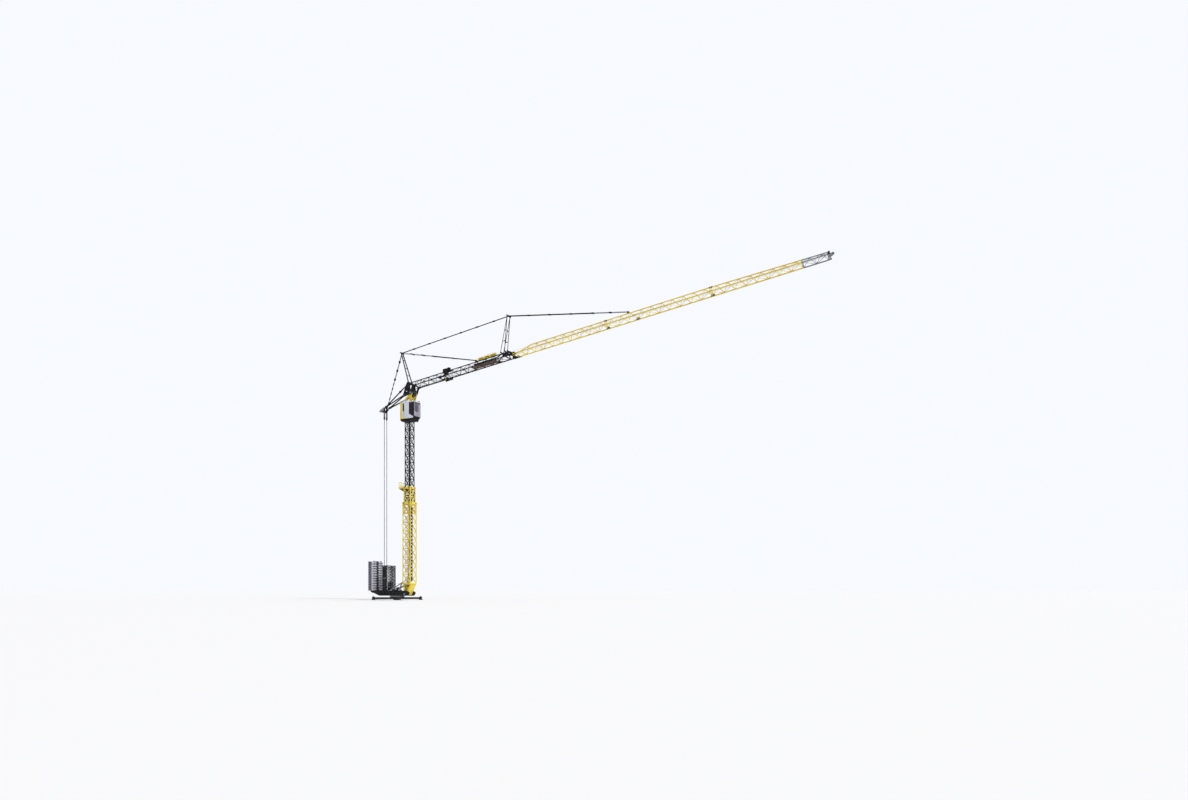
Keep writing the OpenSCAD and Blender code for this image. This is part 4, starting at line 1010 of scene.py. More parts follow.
@dataclass(frozen=True)
class CageFittings(Fittings):
    """Panels, drum rope, motor and cabinet fittings of the winch cage."""

    back: float = -0.95
    floor_z: float = 0.6623
    high: float = 1.775
    doors: Triple = (-0.27, 0.0, 0.27)
    drum_x: float = -0.768
    drum_z: float = 0.9023
    drum_d: float = 0.24

    def pieces(self) -> Rows:
        """Yields every piece with its slot."""
        yield self._panels(), "dark_steel"
        yield self._louvres(), "black_steel"
        yield self._winding(), "rope_steel"
        yield self._motor(), "grey_steel"
        yield self._handles(), "grey_steel"
        yield self._roof(), "dark_steel"
        yield self._lining(), "white_panel", "pale_panel"

    def _lining(self) -> Piece:
        """The pale sheets inside both sides and behind the drum, and the strips at the front."""
        made = []
        for side in SIDES:
            sheet = cube("lining", (0.165, 0.006, 1.64), (-0.692, side * 0.436, self.floor_z + 0.885))
            step(sheet, facing("y"), 0.02, -0.001)
            strip = cube("lining", (0.006, 0.11, 1.64), (-0.605, side * 0.372, self.floor_z + 0.885))
            step(strip, facing("x"), 0.012, 0.001)
            made += [sheet, strip]
        back = cube("lining", (0.006, 0.85, 0.52), (self.back + 0.022, 0, self.floor_z + 0.285))
        made.append(step(back, facing("x"), 0.02, 0.001))
        return join("cage_lining", made)

    def _panels(self) -> Piece:
        """The sheet panels in both sides, two above each other, with pressed fields."""
        made = []
        for side in SIDES:
            for z in (self.floor_z + 0.46, self.floor_z + 1.31):
                panel = cube("panel", (0.306, 0.006, 0.82), (-0.75, side * 0.452, z))
                step(panel, facing("y"), 0.035, 0.0)
                step(panel, facing("y", area=0.15), 0.012, 0.008)
                made.append(panel)
        return join("cage_panels", made)

    def _louvres(self) -> Piece:
        """The slats of the vents in the upper side panels."""
        places = [lay((-0.75, side * 0.467, self.floor_z + 1.02 + 0.045 * i), "X", side * 35)
                  for side in SIDES for i in range(12)]
        slat = cube("slat", (0.19, 0.022, 0.004))
        cut_corners(slat, reaching("z", 0.002), 0.006)
        return join("cage_louvres", copies(slat, places))

    def _winding(self) -> Piece:
        """The rope that is wound on the drum, turn beside turn."""
        turn = rope_turn(self.drum_d / 2 + 0.007, 0.0085, 30, 1.5)
        places = [lay((self.drum_x, y, self.drum_z)) for y in evenly(-0.318, 0.318, 38)]
        return smooth(join("drum_rope", copies(turn, places)), 60.0)

    def _motor(self) -> Piece:
        """The hoist motor over the drum, with its saddle and coupling."""
        motor = move(fan_motor("hoist_motor", 0.44, 0.18), lay((-0.68, 0.05, 1.20), "Z", 90))
        saddle = cube("saddle", (0.16, 0.50, 0.02), (-0.69, 0.04, 1.10))
        cut_corners(saddle, reaching("z", 0.01), 0.03)
        disc = move(sheave(0.16, 0.05, 24), lay((-0.68, -0.24, 1.20)))
        return join("hoist_motor", [motor, saddle, disc])

    def _handles(self) -> Piece:
        """The turn handles and hinges of the three cabinet doors."""
        x = self.back + 0.154 - 0.012
        made = []
        grip = step(cube("grip", (0.014, 0.018, 0.11)), facing("+x"), 0.004, 0.006)
        bevel(grip, 0.003)
        made += copies(grip, [lay((x + 0.006, y - 0.09, 1.75)) for y in self.doors])
        hinge = step(rod("hinge", (0, 0, -0.03), (0, 0, 0.03), 0.014, 10), facing("z"), 0.003, 0.004)
        made += copies(hinge, [lay((x + 0.005, y + 0.112, z)) for y in self.doors for z in (1.42, 2.15)])
        return join("cabinet_handles", made)

    def _roof(self) -> Piece:
        """The sheet roof of the cage, with a folded edge."""
        z = self.floor_z + self.high - 0.008
        roof = step(cube("cage_roof", (0.392, 0.94, 0.014), (-0.75, 0, z)), facing("+z"), 0.02, 0.006)
        step(roof, facing("-z"), 0.012, -0.004)
        return bevel(roof, 0.002)


@dataclass(frozen=True)
class MastFittings(Fittings):
    """Joint plates, pins, guide pads, toe boards, cable loom and hoist rope of the mast."""

    x: float = 1.1
    outer: float = 0.69
    middle: float = 0.584
    inner: float = 0.478
    chord: float = 0.048
    outer_z: float = 1.17
    outer_top: float = 6.7
    middle_top: float = 7.8
    inner_z: float = 6.72
    inner_top: float = 13.72
    outer_n: int = 9
    inner_n: int = 12

    def pieces(self) -> Rows:
        """Yields every piece with its slot."""
        outer = self._levels(self.outer_z, self.outer_top, self.outer_n)
        inner = self._levels(self.inner_z, self.inner_top, self.inner_n)
        yield self._joint_plates("outer_joint_plates", self.outer, outer, 0.085), "yellow_paint"
        yield self._joint_plates("inner_joint_plates", self.inner, inner[1:], 0.075), "dark_steel"
        yield self._pads(), "black_plastic"
        yield self._toe_boards(), "yellow_paint"
        yield self._step_brackets(), "yellow_paint", "brown_steel"
        yield self._lock_pins(), "grey_steel"
        yield self._loom(), "black_plastic"
        yield self._hoist_rope(), "rope_steel"
        yield self._foot_sheave(), "grey_steel"

    def _levels(self, low: float, high: float, count: int) -> list[float]:
        """Returns the heights of a section's panel points."""
        return evenly(low + self.chord / 2, high - self.chord / 2, count + 1)

    def _joint_plates(self, name: str, wide: float, levels: Sequence[float], size: float) -> Piece:
        """The plates where the braces meet the chords, on all four sides.

        Args:
            name: The piece's name.
            wide: The section's width.
            levels: The heights of its panel points.
            size: The size of a plate.

        Returns:
            The joined plates.
        """
        reach = wide / 2 - self.chord - size / 2 + 0.012
        places = []
        for z in levels:
            for side in range(4):
                turn = lay((self.x, 0, z), "Z", 90 * side)
                for end in SIDES:
                    places.append(turn @ lay((end * reach, -(wide - self.chord) / 2, 0)))
        plate = gusset(size, 0.008, size * 1.25, size * 0.3)
        return join(name, copies(plate, places))

    def _toe_boards(self) -> Piece:
        """The toe boards round the service platform and the ribs of its floor."""
        x, z = 0.578, self.middle_top + 0.075
        made = []
        side_board = step(cube("toe_board", (0.43, 0.010, 0.12)), facing("y"), 0.012, -0.002)
        made += copies(side_board, beside(x, 0.2665, z))
        end_board = cube("toe_board", (0.010, 0.543, 0.12), (0.3560, 0, z))
        made.append(step(end_board, facing("x"), 0.012, -0.002))
        rib = cube("rib", (0.012, 0.50, 0.010))
        cut_corners(rib, reaching("y", 0.1), 0.003)
        made += copies(rib, [lay((u, 0, self.middle_top + 0.043)) for u in evenly(0.42, 0.76, 10)])
        return join("toe_boards", made)

    def _step_brackets(self) -> Piece:
        """The two brackets and the cross bar below the service platform."""
        made = []
        for side in SIDES:
            bracket = drawn_plate("bracket", [(0.775, 7.56), (0.806, 7.56), (0.806, 7.809), (0.39, 7.809)],
                                  side * 0.21, 0.014)
            made.append(step(bracket, facing("y"), 0.012, -0.002))
        made.append(step(cube("bar", (0.05, 0.46, 0.06), (0.44, 0, 7.775)), facing("-z"), 0.010, -0.006))
        return join("step_brackets", made)

    def _pads(self) -> Piece:
        """The guide pads on the collars, two to each side, held by two bolts each."""
        made = []
        for wide, z in ((self.outer + 0.03, self.outer_top + 0.075),
                        (self.middle + 0.03, self.middle_top + 0.055)):
            places, bolts = [], []
            for side in range(4):
                turn = lay((self.x, 0, z), "Z", 90 * side)
                for y in (-0.32, 0.32):
                    at = turn @ lay((wide / 2 + 0.003, y * wide, 0))
                    places.append(at)
                    bolts += [at @ aim((0.005, k * 0.028, 0), (1, 0, 0)) for k in SIDES]
            pad = cube("pad", (0.010, 0.10, 0.07))
            cut_corners(pad, reaching("x", 0.005), 0.012)
            made += copies(pad, places)
            made += copies(bolt(0.018, 0.007), bolts)
        return join("guide_pads", made)

    def _lock_pins(self) -> Piece:
        """The pins that hold each section at its collar, and at the mast's foot."""
        places = []
        for z in (self.outer_z + 0.06, self.outer_top - 0.10):
            for sy in SIDES:
                for x in (self.x - self.outer / 2 + 0.024, self.x + self.outer / 2 - 0.024):
                    places.append(aim((x, sy * (self.outer / 2 - 0.002), z), (0, sy, 0)))
        for sy in SIDES:
            for x in (self.x - self.middle / 2 + 0.024, self.x + self.middle / 2 - 0.024):
                places.append(aim((x, sy * (self.middle / 2 - 0.002), self.middle_top - 0.09), (0, sy, 0)))
        return join("section_pins", copies(pin_head(0.042, 0.026, 14), places))

    def _loom(self) -> Piece:
        """The cables that run up the mast from the cage to the cab, with their clamps."""
        x = self.x + 0.13
        made = [
            hose("cable", [(-0.62, -0.20, 0.69), (-0.30, -0.22, 0.70), (0.30, -0.20, 0.71),
                                  (0.70, -0.17, 0.95), (x, -0.16, 1.35), (x, -0.16, 6.0),
                                  (x, -0.16, 12.6), (x, -0.16, 12.92), (x, -0.22, 13.02),
                                  (x, -0.36, 13.04)], 0.026),
            hose("cable", [(-0.62, -0.24, 0.69), (-0.30, -0.26, 0.70), (0.30, -0.23, 0.71),
                                  (0.74, -0.19, 0.98), (x - 0.04, -0.17, 1.40), (x - 0.04, -0.17, 6.0),
                                  (x - 0.04, -0.17, 13.5), (x + 0.04, -0.16, 13.8),
                                  (x + 0.16, -0.13, 14.1)], 0.020)]
        clamp = step(cube("clamp", (0.10, 0.03, 0.02)), facing("-y"), 0.006, 0.006)
        made += copies(clamp, [lay((x - 0.02, -0.185, z)) for z in evenly(1.6, 13.2, 20)])
        return join("mast_cables", made)

    def _hoist_rope(self) -> Piece:
        """The hoist rope from the drum, round the foot sheave and up inside the mast."""
        rope = 0.013
        top = 14.42
        x = 1.26
        first = rod("hoist_rope", (-0.74, 0.06, 1.035), (1.14, 0.06, 1.345), rope, 8)
        step(first, facing("x"), 0.003, 0.0)
        second = rod("hoist_rope", (x, 0.06, 1.45), (x, 0.06, top), rope, 8)
        step(second, facing("z"), 0.003, 0.0)
        return smooth(join("hoist_rope", [first, second]), 60.0)

    def _foot_sheave(self) -> Piece:
        """The sheave at the mast's foot that turns the hoist rope upwards."""
        wheel = move(sheave(0.23, 0.036), lay((1.14, 0.06, 1.46)))
        pin = rod("sheave_pin", (1.14, -0.02, 1.46), (1.14, 0.14, 1.46), 0.04, 16)
        step(pin, facing("y"), 0.006, 0.004)
        bars = []
        for y in (0.0, 0.12):
            bar = cube("bracket", (0.05, 0.012, 0.46), (1.14, y, 1.37))
            bars.append(bevel(bar, 0.003))
        return join("foot_sheave", [wheel, pin, *bars])


@dataclass(frozen=True)
class CabFittings(Fittings):
    """Door, seals, trim, undercarriage and controls of the cab."""

    x: float = 1.14
    long: float = 1.2
    y: float = -0.704
    wide: float = 0.68
    z: float = 12.45
    high: float = 1.13

    def pieces(self) -> Rows:
        """Yields every piece with its slot."""
        yield self._strip(), "yellow_paint"
        yield self._undercarriage(), "black_steel"
        yield self._front_glass(), "dark_glass", "pale_glass"
        yield self._front_pane(), "dark_glass", "slate_panel"
        yield self._corner_posts(), "dark_glass"
        yield self._seals(), "black_plastic"
        yield self._door(), "white_panel"
        yield self._roof(), "white_panel"
        yield self._visor(), "black_plastic"
        yield self._rails(), "dark_steel"
        yield self._console(), "black_plastic"
        yield self._lamps(), "grey_steel"

    @property
    def near(self) -> float:
        """The Y of the cab's outer side."""
        return self.y - self.wide / 2

    @property
    def front(self) -> float:
        """The X of the cab's front."""
        return self.x + self.long

    @property
    def top(self) -> float:
        """The Z of the cab's top."""
        return self.z + self.high

    def _strip(self) -> Piece:
        """The yellow edging up the rear of the outer side and along its foot."""
        y = self.near - 0.004
        upright = cube("edging", (0.15, 0.012, self.high - 0.02),
                       (self.x + 0.078, y, self.z + self.high / 2))
        cut_corners(upright, reaching("y", 0.006), 0.02, 2)
        step(upright, facing("-y"), 0.010, 0.003)
        foot = cube("edging", (0.34, 0.010, 0.10), (self.x + 0.30, y, self.z + 0.056))
        cut_corners(
            foot, lambda a, b: abs(a.y - b.y) > 0.005 and a.x > self.x + 0.4 and a.z > self.z + 0.08, 0.05)
        step(foot, facing("-y"), 0.008, 0.003)
        return join("cab_edging", [upright, foot])

    def _undercarriage(self) -> Piece:
        """The floor pan, its slanted front and the heater box with its vents below the cab."""
        z = self.z
        pan = cube("cab_pan", (self.long - 0.145, self.wide + 0.014, 0.030),
                   (self.x + (self.long - 0.145) / 2, self.y, z - 0.013))
        step(pan, facing("-z"), 0.030, 0.010)
        nose = drawn_plate("cab_pan_front", [
            (self.front - 0.152, z - 0.015), (self.front + 0.010, z + 0.134),
            (self.front, z + 0.145), (self.front - 0.152, z + 0.003)], self.y, self.wide + 0.006)
        step(nose, facing("y"), 0.003, 0.001)
        box = cube("heater", (self.long - 0.16, self.wide - 0.03, 0.13),
                   (self.x + 0.535, self.y + 0.005, z - 0.085))
        cut_corners(box, lambda a, b: max(a.z, b.z) < z - 0.14, 0.055)
        step(box, facing("-z"), 0.06, -0.012)
        slat = cube("slat", (0.74, 0.020, 0.004))
        cut_corners(slat, reaching("z", 0.002), 0.006)
        slats = copies(slat, [
            lay((self.x + 0.54, self.y - 0.322, z - 0.040 - 0.018 * i), "X", 30) for i in range(3)])
        return join("cab_undercarriage", [pan, nose, box, *slats])

    def _front_glass(self) -> Piece:
        """The tinted glass that covers the whole front."""
        glass = cube("front_glass", (0.008, self.wide - 0.006, self.high - 0.17),
                     (self.front + 0.003, self.y, self.z + 0.155 + (self.high - 0.17) / 2))
        cut_corners(glass, reaching("x", 0.005), 0.02, 3)
        return step(glass, facing("+x"), 0.006, 0.002)

    def _front_pane(self) -> Piece:
        """The darker upper pane in the front glass, with its rounded corners."""
        pane = cube("front_pane", (0.008, 0.40, 0.60), (self.front + 0.008, self.y - 0.10, self.z + 0.76))
        cut_corners(pane, reaching("x", 0.005), 0.05, 3)
        return step(pane, facing("+x"), 0.008, 0.001)

    def _corner_posts(self) -> Piece:
        """The black glass that wraps the front corners on both sides."""
        made = []
        for side in SIDES:
            y = self.y + side * (self.wide / 2 + 0.002)
            post = drawn_plate("post", [(self.front - 0.070, self.z + 0.095),
                                        (self.front + 0.002, self.z + 0.15),
                                        (self.front + 0.002, self.top - 0.01),
                                        (self.front - 0.070, self.top - 0.01)], y, 0.010)
            made.append(step(post, facing("y"), 0.004, 0.001))
            brow = cube("brow", (0.46, 0.010, 0.045), (self.front - 0.228, y, self.top - 0.032))
            made.append(step(brow, facing("y"), 0.004, 0.001))
        return join("cab_corner_glass", made)

    def _seals(self) -> Piece:
        """The rubber seals round the windows in both sides and the front."""
        made = []
        for side in SIDES:
            y = self.y + side * (self.wide / 2 + 0.001)
            big = cube("seal", (0.42, 0.014, 0.80), (self.front - 0.23, y, self.z + 0.71))
            pick_edges(big, lambda a, b: min(a.x, b.x) > self.x + 1.0 and max(a.z, b.z) < self.z + 0.5)
            bpy.ops.transform.translate(value=(0, 0, -0.235))
            leave()
            cut_corners(big, reaching("y", 0.007), 0.02, 3)
            made.append(hollow(big, 0.018))
            made.append(move(rim_frame((0.12, 0.014, 0.53), 0.014),
                             lay((self.x + 0.282, y, self.z + 0.79))))
        front = rim_frame((0.62, 0.014, 0.92), 0.020)
        made.append(move(front, lay((self.front + 0.001, self.y, self.z + 0.635), "Z", 90)))
        for k in (-0.33, 0.33):
            bar = cube("bar", (0.016, 0.022, 0.88),
                       (self.front + 0.001, self.y + k * self.wide * 0.5, self.z + 0.635))
            step(bar, facing("+x"), 0.005, 0.003)
            made.append(bar)
        return join("cab_seals", made)

    def _door(self) -> Piece:
        """The sliding panel on the outer side, with its rails."""
        y = self.near - 0.006
        panel = cube("cab_door", (0.40, 0.012, 1.02), (self.x + 0.545, y, self.z + 0.56))
        cut_corners(panel, reaching("y", 0.006), 0.07, 3)
        step(panel, facing("-y"), 0.012, 0.004)
        step(panel, facing("-y", area=0.2), 0.022, -0.003)
        rail = cube("rail", (0.86, 0.016, 0.018))
        cut_corners(rail, reaching("y", 0.008), 0.006)
        rails = copies(rail, [lay((self.x + 0.70, self.near - 0.006, z))
                              for z in (self.z + 0.035, self.z + 1.095)])
        return join("cab_door", [panel, *rails])

    def _roof(self) -> Piece:
        """The pressed roof skin with its ribs and the cooling unit at its rear."""
        top = self.top
        skin = cube("cab_roof", (self.long - 0.01, self.wide - 0.01, 0.022),
                    (self.x + self.long / 2, self.y, top + 0.009))
        bevel(skin, 0.008, 2)
        step(skin, facing("+z"), 0.03, 0.006)
        ribs = copies(bevel(cube("rib", (0.05, self.wide - 0.12, 0.014)), 0.005),
                      [lay((x, self.y, top + 0.030)) for x in evenly(self.x + 0.68, self.x + 1.08, 4)])
        unit = cube("cooler", (0.42, 0.46, 0.12), (self.x + 0.30, self.y, top + 0.085))
        bevel(unit, 0.02, 3)
        step(unit, facing("+z", area=0.05), 0.05, -0.01)
        return join("cab_roof", [skin, *ribs, unit])

    def _visor(self) -> Piece:
        """The sun visor over the front glass and the wiper on it."""
        x = self.front
        visor = cube("visor", (0.022, self.wide - 0.10, 0.07), (x + 0.012, self.y, self.top - 0.075))
        cut_corners(visor, lambda a, b: min(a.x, b.x) > x + 0.02 and max(a.z, b.z) < self.z + 1.05, 0.01)
        step(visor, facing("+x"), 0.012, -0.004)
        arm = rod("wiper", (x + 0.016, self.y + 0.02, self.z + 0.16),
                  (x + 0.02, self.y - 0.12, self.z + 0.62), 0.010, 8)
        step(arm, facing("z", 0.8), 0.002, 0.002)
        blade = cube("blade", (0.014, 0.012, 0.48), (x + 0.014, self.y - 0.12, self.z + 0.62))
        cut_corners(blade, reaching("x", 0.007), 0.003)
        hub = move(pin_head(0.03, 0.02, 12), aim((x + 0.006, self.y + 0.02, self.z + 0.16), (1, 0, 0)))
        return join("cab_visor", [visor, arm, blade, hub])

    def _rails(self) -> Piece:
        """The roof guard rail, grab rails and the hangers of the undercarriage."""
        top = self.top + 0.015
        x0, x1 = self.x + 0.03, self.front - 0.03
        made = []
        for side in SIDES:
            y = self.y + side * (self.wide / 2 - 0.03)
            made.append(hose("rail", [(x, y, top + up) for x, up in (
                (x0, 0.0), (x0, 0.10), (x0 + 0.05, 0.13), (x1 - 0.05, 0.13), (x1, 0.10), (x1,
                                                                                          0.0))], 0.016))
        near = self.near
        made.append(hose("grab", [(self.x + 0.36, near - out, self.z + up) for out, up in (
            (0.0, 0.30), (0.035, 0.30), (0.04, 0.36), (0.04, 0.80), (0.035, 0.86), (0.0, 0.86))], 0.014))
        hanger = gusset(0.05, 0.012, 0.16, 0.012)
        made += copies(hanger, [lay((x, y, self.z - 0.09)) for x in (self.x + 0.12, self.x + 0.98)
                                for y in (self.y - 0.255, self.y + 0.325)])
        return join("cab_rails", made)

    def _console(self) -> Piece:
        """The two control consoles beside the seat, with their levers."""
        x, z = self.x + 0.60, self.z + 0.016
        made = []
        for side in SIDES:
            y = self.y + side * 0.20
            desk = cube("console", (0.30, 0.09, 0.34), (x, y, z + 0.17))
            cut_corners(
                desk, lambda a, b: min(a.x, b.x) > x and max(a.z,
                                                             b.z) > z + 0.3 and abs(a.y - b.y) > 0.02,
                                                             0.07)
            step(desk, facing("+z"), 0.010, 0.008)
            lever = rod("lever", (x + 0.05, y, z + 0.33), (x + 0.06, y, z + 0.44), 0.014, 8)
            step(lever, facing("+z"), 0.002, 0.010)
            made += [desk, move(pin_head(0.036, 0.03, 12), lay((x + 0.06, y, z + 0.43))), lever]
        return join("cab_console", made)

    def _lamps(self) -> Piece:
        """The work lamps on the roof's front corners."""
        made = []
        x, top = self.front - 0.06, self.top + 0.02
        for side in SIDES:
            y = self.y + side * 0.24
            lamp = rod("lamp", (x - 0.035, y, top + 0.06), (x + 0.045, y, top + 0.05), 0.09, 20)
            step(lamp, facing("+x"), 0.010, -0.010)
            step(lamp, facing("-x"), 0.024, 0.014)
            foot = cube("foot", (0.03, 0.012, 0.05), (x, y, top + 0.01))
            cut_corners(foot, reaching("y", 0.006), 0.006)
            made += [lamp, foot]
        return join("cab_lamps", made)


@dataclass(frozen=True)
class HeadFittings(Fittings):
    """Pins, sheave, plates and sleeves of the turning head, the rear boom and the rope blocks."""

    body = Body.JIB
    shaft: Pair = (-0.618, 3.07)
    boom_up: Pair = (-0.327, 0.528)
    boom_low: Pair = (-0.64, -0.058)
    joint: Pair = (-2.424, -0.437)
    tip: Pair = (-2.9, -0.62)
    rope: Pair = (-2.6, -0.505)
    boom_y: Pair = (0.360, 0.19)

    def pieces(self) -> Rows:
        """Yields every piece with its slot."""
        yield self._pins(), "grey_steel"
        yield self._sheave(), "grey_steel"
        yield self._tips(), "grey_steel"
        yield self._boom_plates(), "black_steel"
        yield self._head_plates(), "black_steel"
        yield self._boom_sleeves(), "black_steel"
        yield self._fork_cheeks(), "dark_steel", "", Body.TURNTABLE
        yield self._block_wheels(), "grey_steel", "", Body.BLOCKS

    def _boom_y(self, share: float) -> float:
        """Returns how far a boom bar lies from the middle at a share of its length."""
        return self.boom_y[0] + share * (self.boom_y[1] - self.boom_y[0])

    def _boom_sleeves(self) -> Piece:
        """The sleeves that stiffen the boom's four bars between their ends."""
        made = []
        for t0, n0 in (self.boom_up, self.boom_low):
            for side in SIDES:
                ends = [(t0 + f * (self.joint[0] - t0), side * self._boom_y(f),
                         n0 + f * (self.joint[1] - n0)) for f in (0.09, 0.94)]
                sleeve = rod("sleeve", ends[0], ends[1], 0.086, 12)
                made.append(step(sleeve, facing("x", 0.7), 0.014, 0.012))
        return JIB.mount("boom_sleeves", made)

    def _fork_cheeks(self) -> Piece:
        """The dark wear plates on both sides of each fork arm below the pivot."""
        corners = [(1.365, 14.31), (1.465, 14.31), (1.505, 14.40), (1.415, 14.475)]
        made = []
        for y in (-0.2725, -0.2355, 0.2355, 0.2725):
            made.append(step(drawn_plate("cheek", corners, y, 0.005), facing("y"), 0.008, 0.001))
        return join("fork_cheeks", made)

    def _pins(self) -> Piece:
        """The heads of the pivot, boom and shaft pins."""
        made = []
        for wide, high, reach, places in (
                (0.15, 0.034, 0.331, [(0.0, 0.0)]), (0.095, 0.026, 0.398, [self.boom_up, self.boom_low]),
                (0.11, 0.028, 0.165, [self.shaft])):
            made += copies(pin_head(wide, high), [
                aim((t, side * (reach - 0.002), n), (0, side, 0)) for t, n in places for side in SIDES])
        return JIB.mount("head_pins", made)

    def _sheave(self) -> Piece:
        """The sheave on the pivot that turns the hoist rope into the jib."""
        wheel = move(sheave(0.39, 0.034, 40), lay((0, 0.06, 0)))
        cheeks = copies(gusset(0.30, 0.008, 0.30, 0.09), [lay((0.02, y, 0.02)) for y in (0.03, 0.09)])
        return JIB.mount("head_sheave", [wheel, *cheeks])

    def _tips(self) -> Piece:
        """The pale sleeves, cross tube, cheeks and web at the tip of the rear boom."""
        t, n = self.tip
        made = []
        for side in SIDES:
            sleeve = rod("sleeve", (t + 0.09, side * 0.19, n + 0.035), (t - 0.03, side * 0.19, n - 0.011),
                         0.084, 20)
            step(sleeve, facing("x", 0.8), 0.012, 0.006)
            made.append(sleeve)
        cross = step(rod("cross", (t, -0.222, n), (t, 0.222, n), 0.096, 20), facing("y"), 0.014, 0.008)
        made += copies(gusset(0.44, 0.018, 0.15, 0.04), beside(t + 0.15, 0.240, n + 0.058, "Y", -21))
        web = step(cube("web", (0.19, 0.44, 0.06)), facing("z"), 0.03, -0.012)
        move(web, lay((t + 0.065, 0, n + 0.068), "Y", -21))
        return JIB.mount("boom_tips", [*made, web, cross])

    def _boom_plates(self) -> Piece:
        """The knob plates part way down the boom's upper bars, and those at its joint."""
        plate = gusset(0.16, 0.100, 0.10, 0.03)
        places = []
        for side in SIDES:
            for f, (t0, n0) in ((0.26, self.boom_up), (0.97, self.boom_up), (0.95, self.boom_low)):
                t = t0 + f * (self.joint[0] - t0)
                n = n0 + f * (self.joint[1] - n0)
                y = self._boom_y(f)
                slope = math.degrees(math.atan2(n0 - self.joint[1], t0 - self.joint[0]))
                places.append(lay((t, side * y, n), "Y", -slope))
        return JIB.mount("boom_plates", copies(plate, places))

    def _head_plates(self) -> Piece:
        """The stiffening plates and link arms inside the turning head."""
        made = []
        for side in SIDES:
            y = side * 0.276
            link = rod("link", (0.02, y, -0.05), (0.32, y, 0.38), 0.070, 12)
            step(link, facing("z", 0.6), 0.010, 0.0)
            back = rod("link", (-0.02, y, 0.02), (-0.26, y, 0.50), 0.060, 12)
            step(back, facing("z", 0.6), 0.010, 0.0)
            made += [link, back]
            for corners in ([(-0.42, 0.25), (-0.06, 0.06), (0.02, 0.58), (-0.34, 0.66)],
                            [(-0.66, -0.14), (-0.12, -0.08), (-0.08, 0.16), (-0.60, 0.20)]):
                sheet = drawn_plate("head_sheet", corners, y + side * 0.004, 0.008)
                made.append(step(sheet, facing("y"), 0.02, 0.0005))
        web = gusset(0.22, 0.012, 0.16, 0.05)
        made += copies(web, [lay((t, side * 0.324, n)) for t, n in ((-0.14, 0.70), (0.30, 0.42))
                             for side in SIDES])
        return JIB.mount("head_plates", made)

    def _block_wheels(self) -> Piece:
        """The sheave pins and straps in the rope blocks, which stay upright."""
        x, _, z = JIB.place(self.rope[0], 0.0, self.rope[1])
        low = z - 0.757 + 0.16
        made = copies(pin_head(0.06, 0.018, 14), [
            aim((x, y + side * 0.019, low), (0, side, 0)) for y in (-0.125, 0.125) for side in SIDES])
        strap = gusset(0.07, 0.006, 0.40, 0.02)
        made += copies(strap, [lay((x, y + side * 0.023, z - 0.42)) for y in (-0.125, 0.125)
                               for side in SIDES])
        return join("block_wheels", made)


